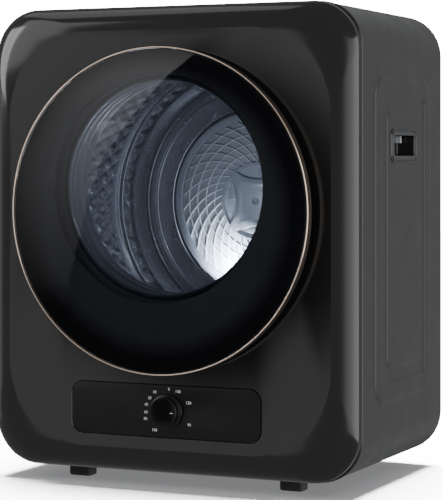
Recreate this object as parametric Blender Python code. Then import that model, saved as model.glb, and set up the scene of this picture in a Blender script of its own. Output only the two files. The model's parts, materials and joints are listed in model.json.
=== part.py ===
"""Compact front-loading clothes dryer, modelled as the separate pieces it is assembled from.

The frame has +Z up, the door faces -Y, and the origin is on the floor under the middle of the machine.
A wrap-around steel cabinet carries a moulded front with a deep rounded bevel. A tinted round door hangs
on its left side over a collar that leads into a belt-driven drum. Drum, motor with its fan, tensioner,
heater, ducts, timer, lamp and latch sit where such a machine has them.
Depths are written as distances from the seam between front panel and cabinet: positive towards the
back, so the front of the door has a negative depth.
"""
import math

import bpy
from mathutils import Vector

# ---- driving dimensions, metres -------------------------------------------------------------------
WIDTH, HEIGHT = 0.498, 0.580            # front panel
FOOT = 0.017                            # clear height under the cabinet
CABINET_DEPTH = 0.300                   # seam to the cabinet's back edge
DOOR_FRONT = 0.0535                     # door rim in front of the seam
PORT_BACK = 0.315                       # exhaust port's end behind the seam
GAP = 0.0003                            # space left between neighbouring solids
SHEET = 0.0010                          # steel sheet thickness

MID = FOOT + HEIGHT / 2                 # height of the cabinet's middle
SEAM = (DOOR_FRONT - PORT_BACK) / 2     # Y of the seam, which centres the machine on the origin
DOOR_Z = MID + 0.036
WINDOW_Z = MID + 0.064                  # the loading opening sits above the door's own middle
DRUM_Z = MID + 0.041

FACE = -0.0275                          # depth of the flat front face
FACE_INNER = -0.0245                    # back of that wall
OUTER_CORNER, RIDGE_CORNER = 0.0615, 0.107
RIDGE_HALF_W, RIDGE_HALF_H = 0.2195, 0.259

SHELL_HALF_W, SHELL_HALF_H, SHELL_CORNER = 0.2482, 0.2892, 0.055
EMBOSS = 0.0015
PRESS_DEPTH = 0.1498                    # middle of the side pressing, measured from the seam

COLLAR_BORE = 0.1315
COLLAR_BACK = 0.020
BULKHEAD_FRONT, BULKHEAD_BACK = 0.0140, 0.0152
DRUM_FRONT, DRUM_WALL, DRUM_BACK = 0.0225, 0.195, 0.268
DRUM_LIP = 0.160
GRILLE_RADIUS = 0.1255
FIRST_LIFTER = math.radians(78)         # the second lifter is opposite
REAR_BULKHEAD = 0.2745

RING_OUTER = 0.2005
HINGE_X, HINGE_DEPTH = -0.196, -0.0375

CONTROL_X, CONTROL_Z = 0.0005, MID - 0.2108
CONTROL_HALF_W, CONTROL_HALF_H, CONTROL_CORNER = 0.1285, 0.03175, 0.015
KNOB_X = 0.004

MOTOR_X, MOTOR_Z = -0.085, MID - 0.232
IDLER_X, IDLER_Z = 0.020, MID - 0.215
IDLER_PIVOT_X, IDLER_PIVOT_Z = 0.085, MID - 0.262
BELT_FRONT, BELT_BACK, BELT_THICK = 0.0990, 0.1070, 0.0015
BELT_ON_DRUM, BELT_ON_MOTOR, BELT_ON_IDLER = 0.1953, 0.0103, 0.0138

HANDLE_DEPTH, HANDLE_Z = 0.1460, MID + 0.116
PORT_X, PORT_Z = 0.150, MID - 0.205
GLAND_X, GLAND_Z = -0.190, MID - 0.245
LATCH_X = 0.1805

# colour, roughness, metallic
PAINT = ((0.055, 0.055, 0.058), 0.42, 0.0)
FRONT_PLASTIC = ((0.045, 0.045, 0.047), 0.36, 0.0)
BLACK_PLASTIC = ((0.012, 0.012, 0.013), 0.50, 0.0)
GREY_PLASTIC = ((0.42, 0.43, 0.44), 0.45, 0.0)
WHITE_PLASTIC = ((0.75, 0.75, 0.73), 0.45, 0.0)
ROSE_METAL = ((0.55, 0.41, 0.36), 0.22, 1.0)
STEEL = ((0.56, 0.57, 0.58), 0.32, 1.0)
ZINC = ((0.50, 0.51, 0.52), 0.45, 1.0)
TINTED_GLASS = ((0.02, 0.02, 0.022), 0.05, 0.0)
CLEAR_GLASS = ((0.85, 0.88, 0.90), 0.10, 0.0)
RUBBER = ((0.015, 0.015, 0.015), 0.80, 0.0)
FELT = ((0.45, 0.42, 0.36), 0.95, 0.0)
CIRCUIT = ((0.05, 0.16, 0.08), 0.50, 0.0)
COPPER = ((0.60, 0.32, 0.18), 0.35, 1.0)


# ---- tools ----------------------------------------------------------------------------------------
def clear_scene():
    for obj in list(bpy.data.objects):
        bpy.data.objects.remove(obj, do_unlink=True)


def material(name, look):
    colour, roughness, metallic = look
    made = bpy.data.materials.new(name)
    made.use_nodes = True
    shader = made.node_tree.nodes["Principled BSDF"]
    shader.inputs["Base Color"].default_value = (*colour, 1.0)
    shader.inputs["Roughness"].default_value = roughness
    shader.inputs["Metallic"].default_value = metallic
    return made


def solid(name, points, faces, look=None, smooth=True, sharp_degrees=32):
    """One closed mesh object; with no look it is a cutter."""
    mesh = bpy.data.meshes.new(name)
    mesh.from_pydata([tuple(p) for p in points], [], faces)
    mesh.validate()
    obj = bpy.data.objects.new(name, mesh)
    bpy.context.scene.collection.objects.link(obj)
    volume = 0.0
    for polygon in mesh.polygons:
        corner = [mesh.vertices[i].co for i in polygon.vertices]
        for k in range(1, len(corner) - 1):
            volume += corner[0].dot(corner[k].cross(corner[k + 1]))
    if volume < 0:
        mesh.flip_normals()
    if smooth:
        mesh.shade_smooth()
        mesh.set_sharp_from_angle(angle=math.radians(sharp_degrees))
    if look is None:
        obj.hide_render = True
        obj.display_type = "WIRE"
    else:
        mesh.materials.append(material(name, look))
    return obj


def combine(target, tool, operation="DIFFERENCE"):
    """Cut a tool from a target, or join it on; the tool stays as a hidden guide."""
    tool.hide_render = True
    tool.display_type = "WIRE"
    modifier = target.modifiers.new(operation.lower() + "_" + tool.name, "BOOLEAN")
    modifier.operation = operation
    modifier.solver = "EXACT"
    modifier.object = tool
    return target


def loft(name, sections, look=None, ring=False, smooth=True):
    """Skin equal-length closed outlines; a ring joins the last to the first, otherwise the ends are capped."""
    count = len(sections[0])
    points = [p for section in sections for p in section]
    faces = []
    spans = len(sections) if ring else len(sections) - 1
    for i in range(spans):
        here, there = i * count, (i + 1) % len(sections) * count
        for k in range(count):
            after = (k + 1) % count
            faces.append((here + k, here + after, there + after, there + k))
    if not ring:
        faces.append(tuple(range(count))[::-1])
        last = (len(sections) - 1) * count
        faces.append(tuple(range(last, last + count)))
    return solid(name, points, faces, look, smooth)


def rounded(half_u, half_v, radius, steps=8):
    """Outline of a rounded rectangle as (u, v) pairs."""
    outline = []
    for quarter, (su, sv) in enumerate(((1, 1), (-1, 1), (-1, -1), (1, -1))):
        for k in range(steps + 1):
            angle = math.pi / 2 * (quarter + k / steps)
            u = su * (half_u - radius) + radius * math.cos(angle)
            v = sv * (half_v - radius) + radius * math.sin(angle)
            outline.append((u, v))
    return outline


def facing(outline, depth, x=0.0, z=0.0):
    """Stand an outline up in the XZ plane at a depth."""
    return [Vector((x + u, SEAM + depth, z + v)) for u, v in outline]


def sideways(outline, x, depth, z):
    """Stand an outline up in the YZ plane at a given X."""
    return [Vector((x, SEAM + depth + u, z + v)) for u, v in outline]


def flat(outline, height, x=0.0, depth=0.0):
    """Lay an outline down in the XY plane at a height."""
    return [Vector((x + u, SEAM + depth + v, height)) for u, v in outline]


def circle(radius, count, turn=0.0):
    step = math.tau / count
    return [(radius * math.cos(turn + k * step), radius * math.sin(turn + k * step)) for k in range(count)]


def turned(name, profile, look=None, x=0.0, z=0.0, count=64, ring=True):
    """Turn (radius, depth) points about a line along Y: a closed section, or one from cap to cap."""
    sections = [facing(circle(radius, count), depth, x, z) for radius, depth in profile]
    return loft(name, sections, look, ring)


def block(name, low, high, look=None):
    """Box between two corners given as (x, depth, z)."""
    (x0, d0, z0), (x1, d1, z1) = low, high
    outline = [(x1, z1), (x0, z1), (x0, z0), (x1, z0)]
    return loft(name, [facing(outline, d0), facing(outline, d1)], look, smooth=False)


def post(name, x, depth, z0, z1, radius, look=None, count=16):
    """Vertical rod."""
    outline = circle(radius, count)
    return loft(name, [flat(outline, z0, x, depth), flat(outline, z1, x, depth)], look)


def around(circles, arc_steps):
    """Outline that wraps tightly round (x, z, radius) circles given counter-clockwise."""
    total = len(circles)
    normals = []
    for i in range(total):
        x0, z0, r0 = circles[i]
        x1, z1, r1 = circles[(i + 1) % total]
        along = Vector((x1 - x0, z1 - z0))
        length = along.length
        along.normalize()
        lean = (r0 - r1) / length
        right = Vector((along.y, -along.x))
        normals.append(along * lean + right * math.sqrt(1 - lean * lean))
    outline = []
    for i in range(total):
        x, z, radius = circles[i]
        start = math.atan2(normals[i - 1].y, normals[i - 1].x)
        sweep = (math.atan2(normals[i].y, normals[i].x) - start) % math.tau
        for k in range(arc_steps[i] + 1):
            angle = start + sweep * k / arc_steps[i]
            outline.append((x + radius * math.cos(angle), z + radius * math.sin(angle)))
    return outline


# ---- cabinet --------------------------------------------------------------------------------------
def bevel_section(rise, wall=0.0, steps=8):
    """Outline of the front moulding: rise runs from 0 at the seam edge to 1 at the ridge."""
    bulge = 0.22
    inset = 2 * rise * (1 - rise) * bulge + rise * rise
    forward = 2 * rise * (1 - rise) * 0.78 + rise * rise
    half_w = WIDTH / 2 + (RIDGE_HALF_W - WIDTH / 2) * inset - wall
    half_h = HEIGHT / 2 + (RIDGE_HALF_H - HEIGHT / 2) * inset - wall
    radius = OUTER_CORNER + (RIDGE_CORNER - OUTER_CORNER) * inset - wall
    lip = -0.0020
    depth = lip + (FACE - lip) * forward
    if wall:
        depth += (FACE_INNER - FACE) * forward
    return facing(rounded(half_w, half_h, radius, steps), depth, 0.0, MID)


def front_panel():
    """Moulded front: a hollow dish, 3 mm thick, with the loading hole, control recess and latch slot."""
    rises = [i / 6 for i in range(7)]
    outline = rounded(WIDTH / 2, HEIGHT / 2, OUTER_CORNER, 8)
    panel = loft("front_panel", [facing(outline, 0.0, 0.0, MID)] + [bevel_section(r) for r in rises],
                 FRONT_PLASTIC)
    wall = FACE_INNER - FACE
    hollow_outline = rounded(WIDTH / 2 - wall, HEIGHT / 2 - wall, OUTER_CORNER - wall, 8)
    hollow = loft("front_panel_hollow", [facing(hollow_outline, 0.005, 0.0, MID)]
                  + [bevel_section(r, wall) for r in rises])
    combine(panel, hollow)
    combine(panel, turned("loading_hole", [(0.1345, -0.05), (0.1345, 0.01)], x=0.0, z=WINDOW_Z, count=64,
                          ring=False))
    recess = rounded(CONTROL_HALF_W + 0.0005, CONTROL_HALF_H + 0.0005, CONTROL_CORNER + 0.0005, 6)
    combine(panel, loft("control_recess", [facing(recess, FACE - 0.01, CONTROL_X, CONTROL_Z),
                                           facing(recess, -0.0257, CONTROL_X, CONTROL_Z)]))
    combine(panel, turned("shaft_hole", [(0.0045, -0.05), (0.0045, 0.01)], x=KNOB_X, z=CONTROL_Z, count=20,
                          ring=False))
    combine(panel, block("latch_slot", (LATCH_X - 0.005, -0.05, DOOR_Z - 0.010),
                         (LATCH_X + 0.008, 0.0, DOOR_Z + 0.010)))


def cabinet_shell():
    """Steel sheet wrapped round all four sides, with a stepped pressing and a handle hole in each flank."""
    outer = rounded(SHELL_HALF_W, SHELL_HALF_H, SHELL_CORNER, 8)
    inner = rounded(SHELL_HALF_W - SHEET, SHELL_HALF_H - SHEET, SHELL_CORNER - SHEET, 8)
    shell = loft("cabinet_shell", [facing(outer, GAP, 0, MID), facing(outer, CABINET_DEPTH, 0, MID),
                                   facing(inner, CABINET_DEPTH, 0, MID), facing(inner, GAP, 0, MID)],
                 PAINT, ring=True)
    for side, word in ((1, "right"), (-1, "left")):
        base, top = side * (SHELL_HALF_W - 0.0004), side * (SHELL_HALF_W + EMBOSS)
        rib = [sideways(rounded(0.1058, 0.2008, 0.028, 4), base, PRESS_DEPTH, MID),
               sideways(rounded(0.1030, 0.1980, 0.0252, 4), top, PRESS_DEPTH, MID),
               sideways(rounded(0.0845, 0.1795, 0.012, 4), top, PRESS_DEPTH, MID),
               sideways(rounded(0.0820, 0.1770, 0.010, 4), base, PRESS_DEPTH, MID)]
        combine(shell, loft("side_rib_" + word, rib, ring=True), "UNION")
        field = [sideways(rounded(0.0640, 0.1600, 0.012, 4), base, PRESS_DEPTH, MID),
                 sideways(rounded(0.0615, 0.1575, 0.010, 4), top, PRESS_DEPTH, MID)]
        combine(shell, loft("side_field_" + word, field), "UNION")
        hole = rounded(0.0440, 0.0180, 0.004, 2)
        combine(shell, loft("handle_hole_" + word, [sideways(hole, side * 0.235, HANDLE_DEPTH, HANDLE_Z),
                                                    sideways(hole, side * 0.260, HANDLE_DEPTH, HANDLE_Z)]))


def rear_panel():
    """Back cover: flanged plate with vent slots, a hole for the exhaust port and one for the cord gland."""
    plate = rounded(SHELL_HALF_W, SHELL_HALF_H, SHELL_CORNER, 8)
    clear = SHEET + GAP
    flange = rounded(SHELL_HALF_W - clear, SHELL_HALF_H - clear, SHELL_CORNER - clear, 8)
    inside = rounded(SHELL_HALF_W - clear - SHEET, SHELL_HALF_H - clear - SHEET, SHELL_CORNER - clear - SHEET, 8)
    front, back = CABINET_DEPTH + GAP, CABINET_DEPTH + GAP + SHEET
    panel = loft("rear_panel", [facing(inside, front, 0, MID), facing(inside, 0.290, 0, MID),
                                facing(flange, 0.290, 0, MID), facing(flange, front, 0, MID),
                                facing(plate, front, 0, MID), facing(plate, back, 0, MID)], PAINT)
    combine(panel, turned("port_hole", [(0.0505, 0.28), (0.0505, 0.32)], x=PORT_X, z=PORT_Z, count=40, ring=False))
    combine(panel, turned("gland_hole", [(0.0085, 0.28), (0.0085, 0.32)], x=GLAND_X, z=GLAND_Z, count=20,
                          ring=False))
    points, faces = [], []
    banks = ((0.0, MID + 0.215, 3, 4), (-0.075, MID - 0.232, 2, 5))
    for centre_x, centre_z, columns, rows in banks:
        for i in range(columns):
            for j in range(rows):
                x = centre_x + (i - (columns - 1) / 2) * 0.062
                z = centre_z + (j - (rows - 1) / 2) * 0.0120
                start = len(points)
                slot = rounded(0.026, 0.0025, 0.0024, 1)
                points += facing(slot, 0.29, x, z) + facing(slot, 0.31, x, z)
                n = len(slot)
                faces += [(start + k, start + (k + 1) % n, start + n + (k + 1) % n, start + n + k) for k in range(n)]
                faces += [tuple(start + k for k in range(n))[::-1], tuple(start + n + k for k in range(n))]
    combine(panel, solid("vent_slots", points, faces))


def feet():
    """Four block feet with eased front corners."""
    top = MID - SHELL_HALF_H - GAP
    for side, left_right in ((-1, "left"), (1, "right")):
        for depth, front_rear in ((0.0349, "front"), (0.2651, "rear")):
            pads = [flat(rounded(0.0140, 0.0098, 0.0035, 3), 0.0, side * 0.1465, depth),
                    flat(rounded(0.0154, 0.0110, 0.0040, 3), 0.0020, side * 0.1465, depth),
                    flat(rounded(0.0154, 0.0110, 0.0040, 3), top, side * 0.1465, depth)]
            loft("foot_" + front_rear + "_" + left_right, pads, RUBBER)


def side_handles():
    """Recessed carrying grips: a chamfered bezel with a closed pocket behind it."""
    face = SHELL_HALF_W + EMBOSS
    for side, word in ((1, "right"), (-1, "left")):
        bezel = rounded(0.0485, 0.0222, 0.006, 2)
        lip = rounded(0.0470, 0.0207, 0.005, 2)
        mouth = rounded(0.0378, 0.0124, 0.004, 2)
        tub = rounded(0.0422, 0.0162, 0.004, 2)
        pocket = rounded(0.0378, 0.0132, 0.003, 2)
        x = [side * (face + d) for d in (GAP, 0.0012, 0.0018, 0.0018, -0.0220, -0.0240)]
        sections = [sideways(pocket, x[4], HANDLE_DEPTH, HANDLE_Z), sideways(mouth, x[3], HANDLE_DEPTH, HANDLE_Z),
                    sideways(lip, x[2], HANDLE_DEPTH, HANDLE_Z), sideways(bezel, x[1], HANDLE_DEPTH, HANDLE_Z),
                    sideways(bezel, x[0], HANDLE_DEPTH, HANDLE_Z), sideways(tub, x[0], HANDLE_DEPTH, HANDLE_Z),
                    sideways(tub, x[5], HANDLE_DEPTH, HANDLE_Z)]
        loft("side_handle_" + word, sections, BLACK_PLASTIC)


def bulkheads():
    """Inner steel walls that carry the drum's front seal and the rear bearing bridge."""
    outline = rounded(0.2468, 0.2878, 0.0536, 8)
    front = loft("front_bulkhead", [facing(outline, BULKHEAD_FRONT, 0, MID),
                                    facing(outline, BULKHEAD_BACK, 0, MID)], ZINC)
    combine(front, turned("collar_hole", [(0.1344, 0.0), (0.1344, 0.03)], z=WINDOW_Z, count=64, ring=False))
    rear_back = REAR_BULKHEAD + 0.0012
    rear = loft("rear_bulkhead", [facing(outline, REAR_BULKHEAD, 0, MID), facing(outline, rear_back, 0, MID)], ZINC)
    combine(rear, turned("air_hole", [(0.150, 0.26), (0.150, 0.29)], z=DRUM_Z, count=48, ring=False))
    combine(rear, turned("blower_hole", [(0.046, 0.26), (0.046, 0.29)], x=MOTOR_X, z=MOTOR_Z, count=32, ring=False))
    bar = rounded(0.175, 0.022, 0.006, 2)
    bridge = loft("bearing_bridge", [facing(bar, rear_back + GAP, 0, DRUM_Z),
                                     facing(bar, rear_back + GAP + 0.0025, 0, DRUM_Z)], ZINC)
    combine(bridge, turned("bearing_seat", [(0.0203, 0.26), (0.0203, 0.29)], z=DRUM_Z, count=32, ring=False))


def collar_and_seal():
    """Plastic tunnel from the front face into the drum, and the felt ring that the drum turns against."""
    collar = [(0.1380, -0.0278), (0.1370, -0.0298), (0.1328, -0.0298), (COLLAR_BORE, -0.0285),
              (COLLAR_BORE, COLLAR_BACK), (0.1341, COLLAR_BACK), (0.1341, -0.0278)]
    turned("door_collar", collar, GREY_PLASTIC, z=WINDOW_Z, count=56)
    front, back = BULKHEAD_BACK + GAP, DRUM_FRONT - GAP
    turned("drum_seal_felt", [(0.162, front), (0.162, back), (0.178, back), (0.178, front)], FELT, z=DRUM_Z,
           count=48)


# ---- drum and what turns with it --------------------------------------------------------------------
def drum():
    """Open steel drum with rolled corners, its spider, shaft, lifters, rear grille and filter."""
    inner = [(DRUM_LIP, 0.0235), (0.1895, 0.0235), (0.1940, 0.0280), (0.1940, 0.2585), (0.1895, 0.2630),
             (0.1705, 0.2630), (0.1610, 0.2670), (0.1180, 0.2670)]
    outer = [(0.1180, DRUM_BACK), (0.1607, DRUM_BACK), (0.1702, 0.2640), (0.1900, 0.2640), (DRUM_WALL, 0.2590),
             (DRUM_WALL, 0.0275), (0.1900, DRUM_FRONT), (DRUM_LIP, DRUM_FRONT)]
    turned("drum_shell", inner + outer, STEEL, z=DRUM_Z, count=56)
    for i in range(2):
        lifter("drum_lifter_%d" % (i + 1), FIRST_LIFTER + math.pi * i)
    spider()
    turned("drum_shaft", [(0.008, 0.2716), (0.008, 0.2880)], STEEL, z=DRUM_Z, count=24, ring=False)
    turned("drum_bearing", [(0.0083, 0.2740), (0.0200, 0.2740), (0.0200, 0.2840), (0.0083, 0.2840)], STEEL,
           z=DRUM_Z, count=32)
    turned("lint_filter", [(0.1225, 0.2658), (0.1225, 0.2667)], FELT, z=DRUM_Z, count=48, ring=False)
    rear_grille()


def lifter(name, angle):
    """Paddle on the drum's inside wall that carries the washing round."""
    seat, crest = 0.1936, 0.1560
    outline = []
    for k in range(5):
        lean = math.radians(-6.5 + 13 * k / 4)
        outline.append((seat * math.cos(lean), seat * math.sin(lean)))
    outline += [(crest + 0.006, 0.0095), (crest + 0.001, 0.0065), (crest, 0.0025), (crest, -0.0025),
                (crest + 0.001, -0.0065), (crest + 0.006, -0.0095)]
    sections = []
    for depth, height in ((0.0450, 0.25), (0.0560, 1.0), (0.2340, 1.0), (0.2450, 0.25)):
        section = []
        for u, v in outline:
            u = seat - (seat - u) * height if u < 0.17 else u
            section.append((u * math.cos(angle) - v * math.sin(angle), u * math.sin(angle) + v * math.cos(angle)))
        sections.append(facing(section, depth, 0, DRUM_Z))
    loft(name, sections, GREY_PLASTIC)


def spider():
    """Three-armed steel support between the drum's back wall and its shaft."""
    outline = []
    for arm in range(3):
        heading = math.tau * arm / 3 + math.pi / 2
        for along, across in ((0.030, -0.0150), (0.150, -0.0100), (0.155, 0.0), (0.150, 0.0100), (0.030, 0.0150)):
            outline.append((along * math.cos(heading) - across * math.sin(heading),
                            along * math.sin(heading) + across * math.cos(heading)))
    front = DRUM_BACK + GAP
    loft("drum_spider", [facing(outline, front, 0, DRUM_Z), facing(outline, front + 0.003, 0, DRUM_Z)], ZINC,
         smooth=False)


def rear_grille():
    """Moulded air guard in the drum's back: rim, swirl of slots and a cone with four finger pockets."""
    back, face, rim = 0.2655, 0.2625, 0.2590
    profile = [(0.1080, back), (GRILLE_RADIUS, back), (GRILLE_RADIUS, rim + 0.001), (GRILLE_RADIUS - 0.001, rim),
               (0.1190, rim), (0.1175, face), (0.0480, face), (0.0440, 0.2600), (0.0200, 0.2510),
               (0.0120, 0.2505), (0.0120, back)]
    grille = turned("rear_grille", profile, GREY_PLASTIC, z=DRUM_Z, count=48)
    hub = turned("grille_hub", [(0.0125, 0.2545), (0.0125, back)], z=DRUM_Z, count=32, ring=False)
    combine(grille, hub, "UNION")
    points, faces = [], []
    for row, (r0, r1, count) in enumerate(((0.053, 0.078, 14), (0.084, 0.112, 18))):
        for i in range(count):
            start_angle = math.tau * i / count
            edges = []
            for side in (-1, 1):
                edge = []
                for k in range(3):
                    r = r0 + (r1 - r0) * k / 2
                    angle = start_angle + (r - r0) * 11 + side * math.tau / count * 0.30 * r0 / r
                    edge.append((r * math.cos(angle), r * math.sin(angle)))
                edges.append(edge)
            outline = edges[0] + edges[1][::-1]
            start, n = len(points), len(outline)
            points += facing(outline, 0.255, 0, DRUM_Z) + facing(outline, 0.270, 0, DRUM_Z)
            faces += [(start + k, start + (k + 1) % n, start + n + (k + 1) % n, start + n + k) for k in range(n)]
            faces += [tuple(start + k for k in range(n))[::-1], tuple(start + n + k for k in range(n))]
    combine(grille, solid("grille_slots", points, faces))
    turned("grille_screw", [(0.0045, 0.2515), (0.0050, 0.2525), (0.0050, 0.2542)], STEEL, z=DRUM_Z, count=16,
           ring=False)


# ---- drive and air path -----------------------------------------------------------------------------
def drive():
    """Motor with a pulley on its front end and a fan on its back end, and the belt round the drum."""
    body = [(0.0043, 0.1280), (0.0150, 0.1280), (0.0180, 0.1330), (0.0400, 0.1370),
            (0.0400, 0.1960), (0.0180, 0.2000), (0.0150, 0.2050), (0.0043, 0.2050)]
    turned("motor_body", body, ZINC, x=MOTOR_X, z=MOTOR_Z, count=28)
    turned("motor_shaft", [(0.0040, 0.0955), (0.0040, 0.2630)], STEEL, x=MOTOR_X, z=MOTOR_Z, count=16, ring=False)
    pulley = [(0.0043, 0.0965), (0.0125, 0.0965), (0.0125, 0.0980), (0.0100, 0.0985), (0.0100, 0.1075),
              (0.0125, 0.1080), (0.0125, 0.1095), (0.0043, 0.1095)]
    turned("motor_pulley", pulley, ZINC, x=MOTOR_X, z=MOTOR_Z, count=24)
    motor_bracket()
    fan()
    belt()
    tensioner()


def motor_bracket():
    """Folded cradle on the cabinet floor."""
    floor = MID - SHELL_HALF_H + SHEET + GAP
    inner, outer, cheek = 0.0404, 0.0424, MOTOR_Z + 0.008
    outline = [(outer, cheek), (inner, cheek), (inner, floor + 0.002), (-inner, floor + 0.002), (-inner, cheek),
               (-outer, cheek), (-outer, floor), (outer, floor)]
    loft("motor_bracket", [facing(outline, 0.142, MOTOR_X), facing(outline, 0.190, MOTOR_X)], ZINC, smooth=False)


def fan():
    """Radial fan wheel and its round housing, open to the duct behind."""
    blades, hub, tip, half = 14, 0.012, 0.044, 0.0009
    outline = []
    for i in range(blades):
        angle = math.tau * i / blades
        for radius, side in ((hub, -1), (tip, -1), (tip, 1), (hub, 1)):
            u, v = radius, side * half
            outline.append((u * math.cos(angle) - v * math.sin(angle), u * math.sin(angle) + v * math.cos(angle)))
    wheel = loft("fan_wheel", [facing(outline, 0.2320, MOTOR_X, MOTOR_Z), facing(outline, 0.2600, MOTOR_X, MOTOR_Z)],
                 GREY_PLASTIC, smooth=False)
    combine(wheel, turned("fan_bore", [(0.0043, 0.22), (0.0043, 0.27)], x=MOTOR_X, z=MOTOR_Z, count=16, ring=False))
    housing = [(0.0300, 0.2265), (0.0520, 0.2265), (0.0520, 0.2740), (0.0500, 0.2740), (0.0500, 0.2285),
               (0.0300, 0.2285)]
    turned("fan_housing", housing, BLACK_PLASTIC, x=MOTOR_X, z=MOTOR_Z, count=32)


def belt_path(extra):
    circles = [(0.0, DRUM_Z, BELT_ON_DRUM + extra), (MOTOR_X, MOTOR_Z, BELT_ON_MOTOR + extra),
               (IDLER_X, IDLER_Z, BELT_ON_IDLER + extra)]
    return around(circles, (40, 6, 6))


def belt():
    """Flat belt that runs round drum, motor pulley and idler."""
    inside, outside = belt_path(0.0), belt_path(BELT_THICK)
    loft("drum_belt", [facing(inside, BELT_FRONT), facing(outside, BELT_FRONT), facing(outside, BELT_BACK),
                       facing(inside, BELT_BACK)], RUBBER, ring=True)


def tensioner():
    """Idler pulley on a sprung arm that keeps the belt tight, with its bracket on the floor."""
    turned("idler_pulley", [(0.0030, 0.0980), (0.0135, 0.0980), (0.0135, 0.1080), (0.0030, 0.1080)], BLACK_PLASTIC,
           x=IDLER_X, z=IDLER_Z, count=24)
    outline = around([(IDLER_PIVOT_X, IDLER_PIVOT_Z, 0.008), (IDLER_X, IDLER_Z, 0.008)], (8, 8))
    arm = loft("idler_arm", [facing(outline, 0.1085), facing(outline, 0.1105)], ZINC)
    axle = turned("idler_axle", [(0.0026, 0.0970), (0.0026, 0.1090)], x=IDLER_X, z=IDLER_Z, count=12, ring=False)
    combine(arm, axle, "UNION")
    combine(arm, turned("arm_bore", [(0.0034, 0.10), (0.0034, 0.12)], x=IDLER_PIVOT_X, z=IDLER_PIVOT_Z, count=12,
                        ring=False))
    floor = MID - SHELL_HALF_H + SHEET + GAP
    bracket = block("idler_bracket", (0.045, 0.096, floor), (0.098, 0.1145, floor + 0.002), ZINC)
    combine(bracket, block("bracket_post", (0.075, 0.1120, floor + 0.001), (0.095, 0.1140, MID - 0.252)), "UNION")
    combine(bracket, turned("bracket_pin", [(0.0030, 0.1070), (0.0030, 0.1130)], x=IDLER_PIVOT_X, z=IDLER_PIVOT_Z,
                            count=12, ring=False), "UNION")
    coil("idler_spring", 0.0525, 0.1090, MID - 0.2852, MID - 0.2530, 0.0040, 0.0005, 6)


def coil(name, x, depth, z0, z1, radius, wire, turns):
    """Vertical coil spring."""
    per_turn = 8
    total = turns * per_turn
    data = bpy.data.curves.new(name, "CURVE")
    data.dimensions = "3D"
    data.bevel_depth = wire
    data.bevel_resolution = 0
    data.use_fill_caps = True
    spline = data.splines.new("POLY")
    spline.points.add(total)
    for k in range(total + 1):
        angle = math.tau * k / per_turn
        place = (x + radius * math.cos(angle), SEAM + depth + radius * math.sin(angle), z0 + (z1 - z0) * k / total)
        spline.points[k].co = (*place, 1.0)
    data.materials.append(material(name, STEEL))
    bpy.context.scene.collection.objects.link(bpy.data.objects.new(name, data))


def air_path():
    """Duct pan behind the drum, heater, exhaust port, lamp and cord gland."""
    outer = around([(0.0, DRUM_Z, 0.158), (MOTOR_X, MOTOR_Z, 0.0545)], (28, 12))
    inner = around([(0.0, DRUM_Z, 0.156), (MOTOR_X, MOTOR_Z, 0.0525)], (28, 12))
    loft("air_duct", [facing(inner, 0.2965), facing(inner, 0.2790), facing(outer, 0.2790), facing(outer, 0.2985)],
         BLACK_PLASTIC)
    block("heater_block", (-0.085, 0.2800, MID - 0.120), (-0.005, 0.2955, MID - 0.080), CIRCUIT)
    port = [(0.0470, 0.2850), (0.0500, 0.2850), (0.0500, 0.3016), (0.0600, 0.3016), (0.0600, 0.3030),
            (0.0500, 0.3036), (0.0500, PORT_BACK), (0.0470, PORT_BACK)]
    turned("exhaust_port", port, BLACK_PLASTIC, x=PORT_X, z=PORT_Z, count=32)
    gland = [(0.0045, 0.2980), (0.0082, 0.2980), (0.0082, 0.3016), (0.0110, 0.3016), (0.0110, 0.3040),
             (0.0085, 0.3080), (0.0045, 0.3080)]
    turned("cord_gland", gland, BLACK_PLASTIC, x=GLAND_X, z=GLAND_Z, count=16)
    for i, (sx, sz) in enumerate(((1, 1), (-1, 1), (-1, -1), (1, -1))):
        back = CABINET_DEPTH + 2 * GAP + SHEET
        turned("rear_screw_%d" % (i + 1), [(0.0045, back), (0.0045, back + 0.0012), (0.0030, back + 0.0024)], STEEL,
               x=sx * 0.222, z=MID + sz * 0.170, count=12, ring=False)
    front = BULKHEAD_BACK + GAP
    turned("lamp_lens", [(0.0120, front), (0.0120, front + 0.0025), (0.0085, front + 0.0046)], CLEAR_GLASS,
           x=0.030, z=MID - 0.092, count=24, ring=False)
    block("lamp_board", (0.015, 0.0105, MID - 0.107), (0.045, BULKHEAD_FRONT - GAP, MID - 0.077), CIRCUIT)


# ---- door -------------------------------------------------------------------------------------------
def door():
    """Round door: polished rim, tinted glass, carrier ring, gasket, hinge leaf and latch hook."""
    rim = [(RING_OUTER, -0.0408), (RING_OUTER, -0.0525), (0.1995, -DOOR_FRONT), (0.1980, -0.0530),
           (0.1978, -0.0490), (0.1930, -0.0490), (0.1930, -0.0472), (0.1972, -0.0408)]
    turned("door_ring", rim, ROSE_METAL, z=DOOR_Z, count=60)
    turned("door_glass", [(0.1975, -0.0493), (0.1975, -0.0520), (0.1965, -0.0528)], TINTED_GLASS, z=DOOR_Z,
           count=60, ring=False)
    carrier = turned("door_carrier", [(0.1905, -0.0300), (0.1905, -0.0486), (0.1680, -0.0486), (0.1660, -0.0300)],
                     BLACK_PLASTIC, z=DOOR_Z, count=64)
    combine(carrier, block("hinge_notch", (-0.200, -0.0400, DOOR_Z - 0.0320), (-0.1700, -0.0200, DOOR_Z + 0.0320)))
    turned("door_gasket", [(0.1700, -0.0279), (0.1770, -0.0279), (0.1770, -0.0297), (0.1700, -0.0297)], RUBBER,
           z=DOOR_Z, count=40)
    hinge()
    latch()


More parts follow.
